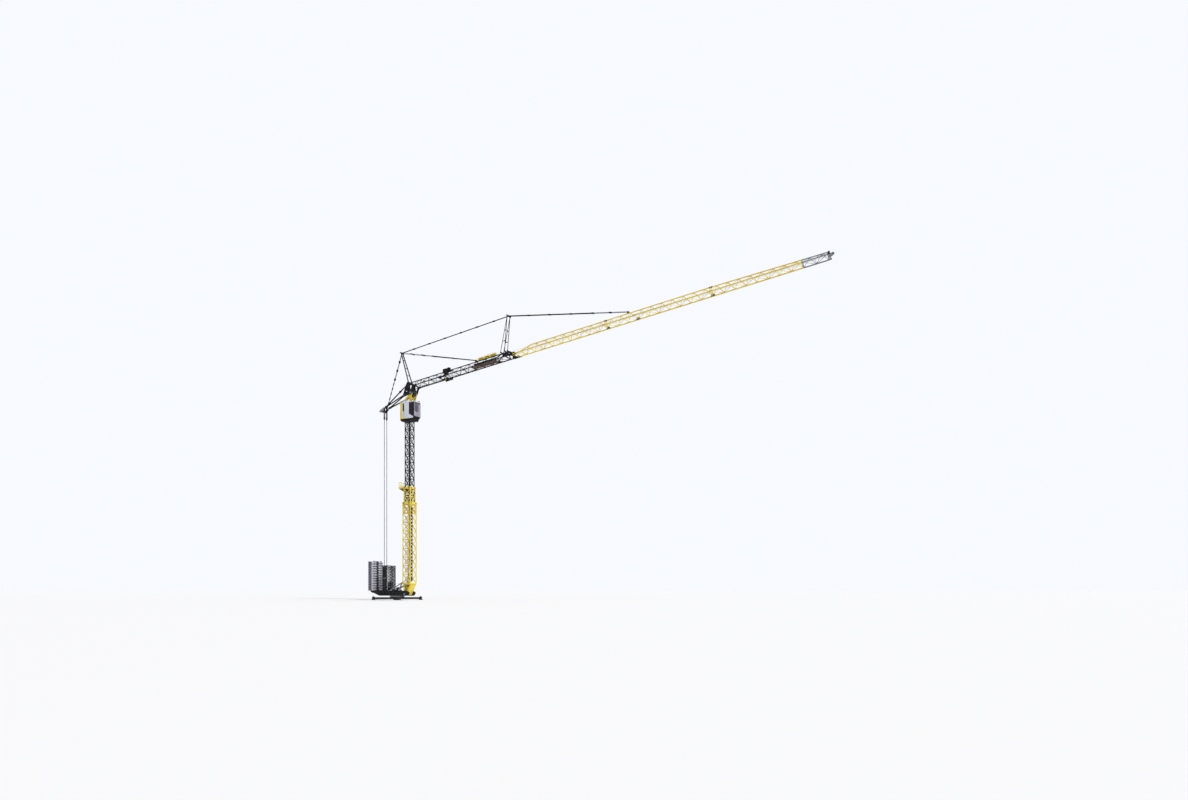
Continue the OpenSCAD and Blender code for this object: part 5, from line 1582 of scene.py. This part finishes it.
@dataclass(frozen=True)
class TieFittings(Fittings):
    """Link plates and pins along the ties."""

    body = Body.JIB
    shaft: Pair = (-0.618, 3.07)
    joint: Pair = (-2.424, -0.437)
    strut: Pair = (8.3, 3.117)
    short: Pair = (5.43, 0.9073)
    front: Pair = (16.6, 0.9073)

    def pieces(self) -> Rows:
        """Yields every piece with its slot."""
        yield self._links(), "black_steel"
        yield self._rear_bars(), "grey_steel"
        yield self._strut_caps(), "grey_steel"

    def _run(self, a: Pair, b: Pair, ya: float, yb: float, shares: Sequence[float]) -> list[Matrix]:
        """Returns the places of link plates along both ties of a pair.

        Args:
            a: The first end along and above the jib.
            b: The second end.
            ya: Half the distance between the ties at the first end.
            yb: Half of it at the second end.
            shares: How far along the tie each link is.

        Returns:
            One matrix for each link.
        """
        slope = math.degrees(math.atan2(b[1] - a[1], b[0] - a[0]))
        places = []
        for share in shares:
            t, n = a[0] + share * (b[0] - a[0]), a[1] + share * (b[1] - a[1])
            y = ya + share * (yb - ya)
            places += [lay((t, side * y, n), "Y", -slope) for side in SIDES]
        return places

    def _plates(self, places: Sequence[Matrix], long: float, thick: float, high: float) -> list[Piece]:
        """Makes link plates with a pin through each end.

        Args:
            places: Where each one goes.
            long: Its length along the tie.
            thick: Its thickness across the tie.
            high: Its height.

        Returns:
            The plates and pins.
        """
        link = cube("link", (long, thick, high))
        cut_corners(link, reaching("y", thick / 2), high * 0.27, 2)
        step(link, facing("y"), high * 0.17, 0.003)
        made = copies(link, places)
        pins = [place @ aim((end * long * 0.32, side * thick / 2, 0), (0, side, 0)) for place in places
                for end in SIDES for side in SIDES]
        return made + copies(pin_head(high * 0.5, 0.016, 8), pins)

    def _links(self) -> Piece:
        """The plates where the bars of the ties are pinned together."""
        bars = self._run(self.shaft, self.strut, 0.032, 0.032, [0.12, 0.27, 0.42, 0.57, 0.72, 0.87])
        bars += self._run(self.strut, self.front, 0.058, 0.058, [0.18, 0.36, 0.54, 0.72, 0.86])
        bars += self._run(self.shaft, self.short, 0.136, 0.050, [0.15, 0.30, 0.44, 0.70])
        rear = self._run(self.shaft, self.joint, 0.0, 0.0, [0.56, 0.65, 0.74, 0.83, 0.92])[::2]
        knob = self._run(self.shaft, self.joint, 0.0, 0.0, [0.16, 0.32, 0.48])[::2]
        made = self._plates(bars, 0.17, 0.044, 0.056) + self._plates(rear, 0.20, 0.058, 0.046)
        made += self._plates(knob, 0.15, 0.100, 0.090)
        return JIB.mount("tie_links", made)

    def _rear_bars(self) -> Piece:
        """The round bars that thicken the upper half of the rear ties."""
        made = []
        for side in SIDES:
            ends = [(self.shaft[0] + f * (self.joint[0] - self.shaft[0]), side * 0.024,
                     self.shaft[1] + f * (self.joint[1] - self.shaft[1])) for f in (0.03, 0.48)]
            made.append(step(rod("bar", ends[0], ends[1], 0.040, 12), facing("z", 0.8), 0.010, 0.010))
        return JIB.mount("rear_bars", made)

    def _strut_caps(self) -> Piece:
        """The caps on the strut's shaft and the bolts of its saddles."""
        t, n = self.strut
        made = copies(pin_head(0.12, 0.03), outward(t, 0.204, n))
        made += copies(bolt(0.026, 0.014), [
            lay((foot + dt, side * y, 0.877)) for foot in (7.475, 7.785) for dt in (-0.028, 0.028)
            for side in SIDES for y in (0.11, 0.06)])
        return JIB.mount("strut_caps", made)


@dataclass(frozen=True)
class JibFittings(Fittings):
    """Joint plates, gussets, ropes, cables and folding latch of the jib, and its end frame."""

    body = Body.JIB
    rise: float = 0.397
    deep: float = 0.44
    tip_deep: float = 0.32
    wide: float = 0.77
    chord: float = 0.05
    joints: tuple[float, ...] = (15.05, 21.8)
    splice: float = 17.07
    lean: float = 42.7
    tip: float = 28.4
    panels: tuple[tuple[float, float, int], ...] = (
        (0.36, 7.8896, 11), (8.45, 15.0496, 10), (15.05, 21.7996, 10), (21.8, 26.9996, 8), (27.0, 28.4, 2))

    def pieces(self) -> Rows:
        """Yields every piece with its slot."""
        for name, slot, chosen in (("root_gussets", "dark_steel", (0,)),
                                   ("jib_gussets", "yellow_paint", (1, 2, 3)),
                                   ("tip_gussets", "grey_steel", (4,))):
            yield self._gussets(name, chosen), slot
        yield self._joint_plates(), "dark_steel", "brown_steel"
        yield self._end_frame(), "black_steel"
        yield self._ropes(), "rope_steel"
        yield self._cables(), "black_plastic"
        yield self._knuckle(), "black_steel"

    def _top(self, t: float) -> float:
        """Returns the height of the top chord's middle at a distance from the pivot."""
        low = self.rise + self.chord / 2
        start = self.rise + 2.1 * self.chord
        full = low + self.deep - self.chord
        if 8.45 <= t < 9.7:
            return start + (full - start) * (t - 8.45) / 1.25
        if t > 21.8:
            return full + (self.tip_deep - self.deep) * (t - 21.8) / (28.4 - 21.8)
        return full

    def _gussets(self, name: str, chosen: Sequence[int]) -> Piece:
        """The small plates where the braces meet the chords.

        Args:
            name: The piece's name.
            chosen: Which jib sections get them.

        Returns:
            The joined plates.
        """
        low = self.rise + self.chord / 2
        y = (self.wide - self.chord) / 2
        places = []
        for i in chosen:
            t0, t1, count = self.panels[i]
            pitch = (t1 - t0 - self.chord) / count
            for k in range(count):
                a = t0 + self.chord / 2 + k * pitch
                top = self._top(a + pitch / 2)
                for side in SIDES:
                    lean = side * math.degrees(math.atan2(y, top - low))
                    places.append(lay((a, side * (y - 0.026), low + 0.028), "X", lean))
                    places.append(lay((a + pitch / 2, side * 0.026, top - 0.028), "X", lean))
        plate = gusset(0.12, 0.007, 0.055, 0.022)
        return JIB.mount(name, copies(plate, places))

    def _joint_plates(self) -> Piece:
        """The fish plates and bolts where two jib sections meet, and one pair between."""
        y = (self.wide - self.chord) / 2
        low = self.rise + self.chord / 2
        plates, bolts, pads = [], [], []
        for t in (*self.joints, self.splice):
            for side in SIDES:
                plates.append(lay((t, side * (y - self.chord / 2 - 0.006), low + 0.023)))
                bolts += [aim((t + dt, side * (y - self.chord / 2 - 0.012), low), (0, -side, 0))
                          for dt in (-0.09, -0.05, 0.05, 0.09)]
            if t != self.splice:
                pads += [lay((t, side * 0.031, self._top(t) - 0.004)) for side in SIDES]
        made = copies(gusset(0.26, 0.012, 0.095, 0.02), plates)
        made += copies(gusset(0.22, 0.012, 0.07, 0.02), pads)
        made += copies(bolt(0.020, 0.010), bolts)
        box = cube("joint_box", (0.16, 0.11, 0.10))
        cut_corners(box, reaching("z", 0.05), 0.02)
        step(box, facing("+z"), 0.012, 0.008)
        made += copies(box, [lay((t, y - 0.09, low + 0.032)) for t in (*self.joints, self.splice)])
        return JIB.mount("joint_plates", made)

    def _end_frame(self) -> Piece:
        """The black plates that face the narrow end frame at the tip."""
        t = self.tip + 0.05
        low = self.rise
        post = cube("post", (0.085, 0.072, 0.335), (t, 0, low + 0.178))
        bevel(post, 0.006)
        step(post, facing("y"), 0.014, -0.004)
        made = [post]
        for side in SIDES:
            brace = rod("brace", (t, side * 0.355, low + 0.045), (t, side * 0.03, low + 0.33), 0.045, 10)
            step(brace, facing("z", 0.5), 0.006, 0.0)
            shoe = cube("shoe", (0.10, 0.062, 0.09), (t, side * 0.36, low + 0.048))
            step(shoe, facing("+x"), 0.010, 0.008)
            made += [brace, bevel(shoe, 0.005)]
        made += copies(pin_head(0.06, 0.02, 16), outward(28.64, 0.049, 0.547))
        return JIB.mount("tip_frame", made)

    def _ropes(self) -> Piece:
        """The hoist rope inside the jib and the trolley rope over its floor."""
        made = []
        for a, b, wide in (((0.0, 0.06, 0.195), (0.95, 0.06, 0.655), 0.013),
                           ((0.95, 0.06, 0.655), (28.62, 0.012, 0.622), 0.013),
                           ((3.0, -0.07, 0.80), (28.5, -0.07, 0.47), 0.009),
                           ((3.0, -0.10, 0.44), (28.5, -0.10, 0.46), 0.009)):
            made.append(step(rod("rope", a, b, wide, 6), facing("x", 0.8), 0.002, 0.0))
        made += copies(sheave(0.10, 0.026, 16), [lay((0.95, 0.06, 0.70)), lay((28.5, -0.07, 0.42)),
                               lay((28.5, -0.10, 0.41))])
        return smooth(JIB.mount("jib_ropes", made), 60.0)

    def _cables(self) -> Piece:
        """The cables from the head to the switch box and winch, clamped to the chord."""
        y = 0.325
        made = [hose("cable", [(-0.1, 0.22, 0.30), (0.10, 0.26, 0.40), (0.40, y, 0.463), (2.0, y, 0.462),
                               (4.0, y, 0.462), (5.1, y, 0.462), (5.3, 0.20, 0.476)], 0.022),
                               hose("cable", [(-0.1, 0.24, 0.34), (0.12, 0.28, 0.44),
                                              (0.42, y - 0.03, 0.461), (2.0, y - 0.03, 0.461),
                                              (2.5, y - 0.03, 0.461), (2.75, 0.20, 0.60),
                                              (2.85, 0.13, 0.74)], 0.018)]
        clamp = step(cube("clamp", (0.03, 0.09, 0.016)), facing("+z"), 0.006, 0.005)
        made += copies(clamp, [lay((t, y - 0.012, 0.476)) for t in evenly(0.6, 4.9, 9)])
        return JIB.mount("jib_cables", made)

    def _knuckle(self) -> Piece:
        """The latch, its rams and bar, the struts, gussets and hinge pins at the folding joint."""
        y = (self.wide - self.chord) / 2
        made = []
        for side in SIDES:
            hook = cube("latch", (0.34, 0.03, 0.12), (8.33, side * 0.10, 0.60))
            cut_corners(hook, reaching("y", 0.015), 0.035)
            made.append(step(hook, facing("y"), 0.016, -0.005))
            ram = rod("ram", (7.95, side * 0.14, 0.86), (8.32, side * 0.14, 0.62), 0.060, 14)
            made.append(step(ram, facing("x", 0.7), 0.014, 0.03))
        made += copies(gusset(0.30, 0.014, 0.11, 0.04), beside(8.42, y - 0.033, 0.465))
        made += copies(pin_head(0.07, 0.024, 16), [
            aim((8.45, side * (y - 0.04), 0.465), (0, -side, 0)) for side in SIDES])
        for side in SIDES:
            for t in (6.92, 8.30):
                strut = rod("strut", (7.66 + (0.06 if t > 8 else -0.06), side * 0.055, 0.80),
                            (t, side * 0.335, 0.455), 0.062, 8)
                made.append(step(strut, facing("z", 0.4), 0.008, 0.0))
        made += copies(gusset(0.42, 0.010, 0.20, 0.09), [
            lay((7.66, side * 0.115, 0.742), "X", side * self.lean) for side in SIDES])
        made += copies(gusset(0.34, 0.010, 0.15, 0.06), [
            lay((t, side * 0.315, 0.490), "X", side * self.lean) for t in (6.95, 8.22) for side in SIDES])
        bar = rod("bar", (8.33, -0.16, 0.60), (8.33, 0.16, 0.60), 0.05, 14)
        made.append(step(bar, facing("y"), 0.008, 0.006))
        return JIB.mount("knuckle_latch", made)


@dataclass(frozen=True)
class WinchFittings(Fittings):
    """Motor, rope turns, doors, tray rim, lids and vents of the winch, switch box and housings."""

    body = Body.JIB
    winch_t: float = 3.03
    winch_n: float = 0.8373
    box_t: float = 6.1
    box_n: float = 0.470
    box_h: float = 0.169
    house_t: float = 6.32
    house_gap: float = 0.473
    door_gap: float = 0.40

    def pieces(self) -> Rows:
        """Yields every piece with its slot."""
        yield self._winch(), "black_steel"
        yield self._winding(), "rope_steel"
        yield self._box_doors(), "black_steel"
        yield self._tray_edge(), "dark_steel", "brown_steel"
        yield self._houses(), "yellow_paint"
        yield self._vents(), "black_plastic"

    def _winch(self) -> Piece:
        """The winch's motor, gearbox and brake."""
        t, n = self.winch_t, self.winch_n
        motor = move(fan_motor("trolley_motor", 0.30, 0.15), lay((t + 0.10, 0, n + 0.115)))
        gear = cube("gear", (0.36, 0.11, 0.36), (t - 0.02, -0.15, n - 0.14))
        cut_corners(gear, reaching("y", 0.05), 0.08)
        step(gear, facing("-y"), 0.02, 0.012)
        brake = move(pin_head(0.13, 0.07, 24), aim((t - 0.08, 0.125, n + 0.02), (0, 1, 0)))
        return JIB.mount("trolley_winch_fittings", [motor, gear, brake])

    def _winding(self) -> Piece:
        """The turns of trolley rope on the winch drum."""
        turn = rope_turn(0.065, 0.0065, 24, 2.0)
        turns = copies(turn, [lay((self.winch_t - 0.15, y, self.winch_n + 0.086))
                              for y in evenly(-0.090, 0.090, 15)])
        return move(smooth(join("trolley_rope_turns", turns), 60.0), JIB.matrix())

    def _box_doors(self) -> Piece:
        """The doors, handles and lid of the switch box."""
        t, n = self.box_t, self.box_n
        made = []
        door = step(cube("door", (0.355, 0.010, 0.115)), facing("-y"), 0.010, 0.003)
        made += copies(door, [lay((t + (i - 1.5) * self.door_gap, -0.116, n + 0.083)) for i in range(4)])
        grip = step(cube("grip", (0.05, 0.014, 0.014)), facing("-y"), 0.003, 0.005)
        made += copies(grip, [lay((t + (i - 1.5) * self.door_gap + 0.10, -0.128, n + 0.09))
                              for i in range(4)])
        lid = cube("lid", (1.64, 0.27, 0.016), (t, 0, n + self.box_h + 0.006))
        step(lid, facing("+z"), 0.02, 0.008)
        return JIB.mount("switch_box_doors", [*made, lid])

    def _tray_edge(self) -> Piece:
        """The tray's rim and the slats across its underside."""
        t, n = self.box_t, self.box_n
        rim = cube("rim", (1.92, 0.012, 0.05))
        cut_corners(rim, lambda a, b: abs(a.x - b.x) > 1.0 and a.z > 0, 0.004)
        made = copies(rim, beside(t, 0.243, n - 0.016))
        slat = cube("slat", (0.060, 0.46, 0.012))
        cut_corners(slat, reaching("y", 0.1), 0.003)
        made += copies(slat, [lay((t + dt, 0, n - 0.036)) for dt in evenly(-0.90, 0.90, 19)])
        return JIB.mount("tray_edge", made)

    def _houses(self) -> Piece:
        """The lids, folded edges and grab rail of the yellow housings."""
        t, n = self.house_t, self.winch_n + 0.125
        made = []
        lid = step(cube("lid", (0.43, 0.15, 0.010)), facing("+z"), 0.02, 0.010)
        made += copies(lid, [lay((t + i * self.house_gap, 0, n + 0.004)) for i in (-1, 0, 1)])
        for side in SIDES:
            made.append(hose("rail", [(t + dt, side * 0.064, n + up) for dt, up in (
                (-0.729, -0.02), (-0.729, 0.05), (-0.67, 0.075), (0.67, 0.075), (0.729, 0.05),
                (0.729, -0.02))], 0.014))
        return JIB.mount("housing_lids", made)

    def _vents(self) -> Piece:
        """The vents in the housings' near side."""
        t, n = self.house_t, self.winch_n
        slat = cube("slat", (0.30, 0.012, 0.005))
        cut_corners(slat, reaching("z", 0.002), 0.003)
        places = [lay((t + i * self.house_gap, -0.062, n + 0.045 + 0.014 * k), "X", 30)
                  for i in (-1, 0, 1) for k in range(4)]
        return JIB.mount("housing_vents", copies(slat, places))


@dataclass(frozen=True)
class TrolleyFittings(Fittings):
    """Wheel caps, sheaves, guards and bolts of the trolley and hook block."""

    body = Body.TROLLEY
    t: float = 2.85
    plate_y: float = 0.434
    wheel_n: float = 0.4483
    low_n: float = 0.309
    hook_n: float = 0.287

    def pieces(self) -> Rows:
        """Yields every piece with its slot."""
        yield self._caps(), "grey_steel"
        yield self._guards(), "black_steel"
        yield self._block(), "yellow_paint"

    def _caps(self) -> Piece:
        """The wheel caps and the sheaves between the trolley's beams."""
        made = copies(pin_head(0.06, 0.016, 16), [
            aim((self.t + k * 0.2016, side * (self.plate_y + 0.006), self.wheel_n), (0, side, 0))
            for k in SIDES for side in SIDES])
        made += copies(sheave(0.104, 0.034, 28), [
            lay((self.t + k * 0.11, 0, self.low_n + 0.030)) for k in SIDES])
        return JIB.mount("trolley_caps", made)

    def _guards(self) -> Piece:
        """The rope guards and buffers of the trolley."""
        made = copies(gusset(0.09, 0.05, 0.05, 0.012), [
            lay((self.t + k * 0.255, side * 0.385, self.low_n + 0.022)) for k in SIDES for side in SIDES])
        made += copies(bolt(0.020, 0.010), [
            aim((self.t + dt, side * (self.plate_y + 0.006), self.low_n + 0.02), (0, side, 0))
            for dt in evenly(-0.24, 0.24, 7) for side in SIDES])
        return JIB.mount("trolley_guards", made)

    def _block(self) -> Piece:
        """The painted weights on the hook block's cheeks, with the sheave's pin heads."""
        made = copies(gusset(0.13, 0.006, 0.05, 0.012), beside(self.t, 0.035, self.hook_n - 0.028))
        made += copies(pin_head(0.045, 0.012, 14), outward(self.t, 0.039, self.hook_n - 0.058))
        return JIB.mount("hook_block_cheeks", made)


@dataclass
class Studio:
    """Floor, light and camera at the photograph's place."""

    mast: Triple = (1.1, 0.0, 0.0)
    turn: float = math.radians(26.0)
    beside: float = 12.915
    away: float = 54.0
    eye: float = 0.7
    lens: float = 23.36
    raise_frame: float = 0.16

    def build(self) -> None:
        """Makes everything that isn't part of the crane."""
        self._camera()
        self._floor()
        self._light()

    def _camera(self) -> None:
        """Puts the level camera where the photograph was taken from."""
        c, s = math.cos(self.turn), math.sin(self.turn)
        x = self.mast[0] + self.beside * c + self.away * s
        y = self.mast[1] + self.beside * s - self.away * c
        data = bpy.data.cameras.new("camera")
        camera = bpy.data.objects.new("camera", data)
        bpy.context.scene.collection.objects.link(camera)
        camera.location = (x, y, self.eye)
        camera.rotation_euler = (math.pi / 2, 0.0, self.turn)
        data.lens = self.lens
        data.sensor_width = 36.0
        data.shift_y = self.raise_frame
        data.clip_start = 1.0
        data.clip_end = 2000.0
        bpy.context.scene.camera = camera

    def _floor(self) -> None:
        """Makes a wide pale floor."""
        clear()
        bpy.ops.mesh.primitive_plane_add(size=1600.0, location=(0.0, 0.0, -0.002))
        floor = bpy.context.object
        floor.name = "floor"
        pale = bpy.data.materials.new("pale_floor")
        pale.use_nodes = True
        shader = pale.node_tree.nodes["Principled BSDF"]
        shader.inputs["Base Color"].default_value = (0.82, 0.82, 0.82, 1.0)
        shader.inputs["Roughness"].default_value = 0.9
        shader.inputs["Specular IOR Level"].default_value = 0.1
        floor.data.materials.append(pale)

    def _light(self) -> None:
        """Makes a white world that lights more from the jib's side, and a broad soft sun from there."""
        world = bpy.data.worlds.new("studio")
        bpy.context.scene.world = world
        world.use_nodes = True
        nodes, links = world.node_tree.nodes, world.node_tree.links
        background = nodes["Background"]
        background.inputs["Color"].default_value = (0.93, 0.95, 1.0, 1.0)
        rays = nodes.new("ShaderNodeLightPath").outputs
        shown = rays["Is Camera Ray"]
        for ray in ("Is Glossy Ray", "Is Transmission Ray"):
            either = nodes.new("ShaderNodeMath")
            either.operation = "MAXIMUM"
            links.new(shown, either.inputs[0])
            links.new(rays[ray], either.inputs[1])
            shown = either.outputs["Value"]
        toward = nodes.new("ShaderNodeVectorMath")
        toward.operation = "DOT_PRODUCT"
        toward.inputs[1].default_value = (0.84, 0.42, 0.34)
        links.new(nodes.new("ShaderNodeTexCoord").outputs["Generated"], toward.inputs[0])
        fill = nodes.new("ShaderNodeMapRange")
        fill.inputs["From Min"].default_value = -1.0
        fill.inputs["To Min"].default_value = 0.12
        fill.inputs["To Max"].default_value = 1.10
        links.new(toward.outputs["Value"], fill.inputs["Value"])
        strength = nodes.new("ShaderNodeMix")
        strength.inputs[3].default_value = 1.0
        links.new(shown, strength.inputs[0])
        links.new(fill.outputs["Result"], strength.inputs[2])
        links.new(strength.outputs[0], background.inputs["Strength"])

        lamp = bpy.data.lights.new("sun", "SUN")
        lamp.energy = 2.3
        lamp.angle = math.radians(12)
        lamp.color = (1.0, 0.975, 0.93)
        sun = bpy.data.objects.new("sun", lamp)
        bpy.context.scene.collection.objects.link(sun)
        sun.rotation_euler = (math.radians(48), 0.0, math.radians(70))


def main() -> None:
    """Builds the looks in order."""
    logging.basicConfig(level=logging.INFO, format="%(message)s")
    bpy.context.scene.view_settings.view_transform = "Standard"
    Studio().build()
    palette = Palette()
    palette.dress_nodes()
    for fittings in (BaseFittings(), PlatformFittings(), BallastFittings(), CageFittings(), MastFittings(),
                     CabFittings(), HeadFittings(), TieFittings(), JibFittings(), WinchFittings(),
                     TrolleyFittings()):
        fittings.build(palette)


if __name__ == "__main__":
    main()
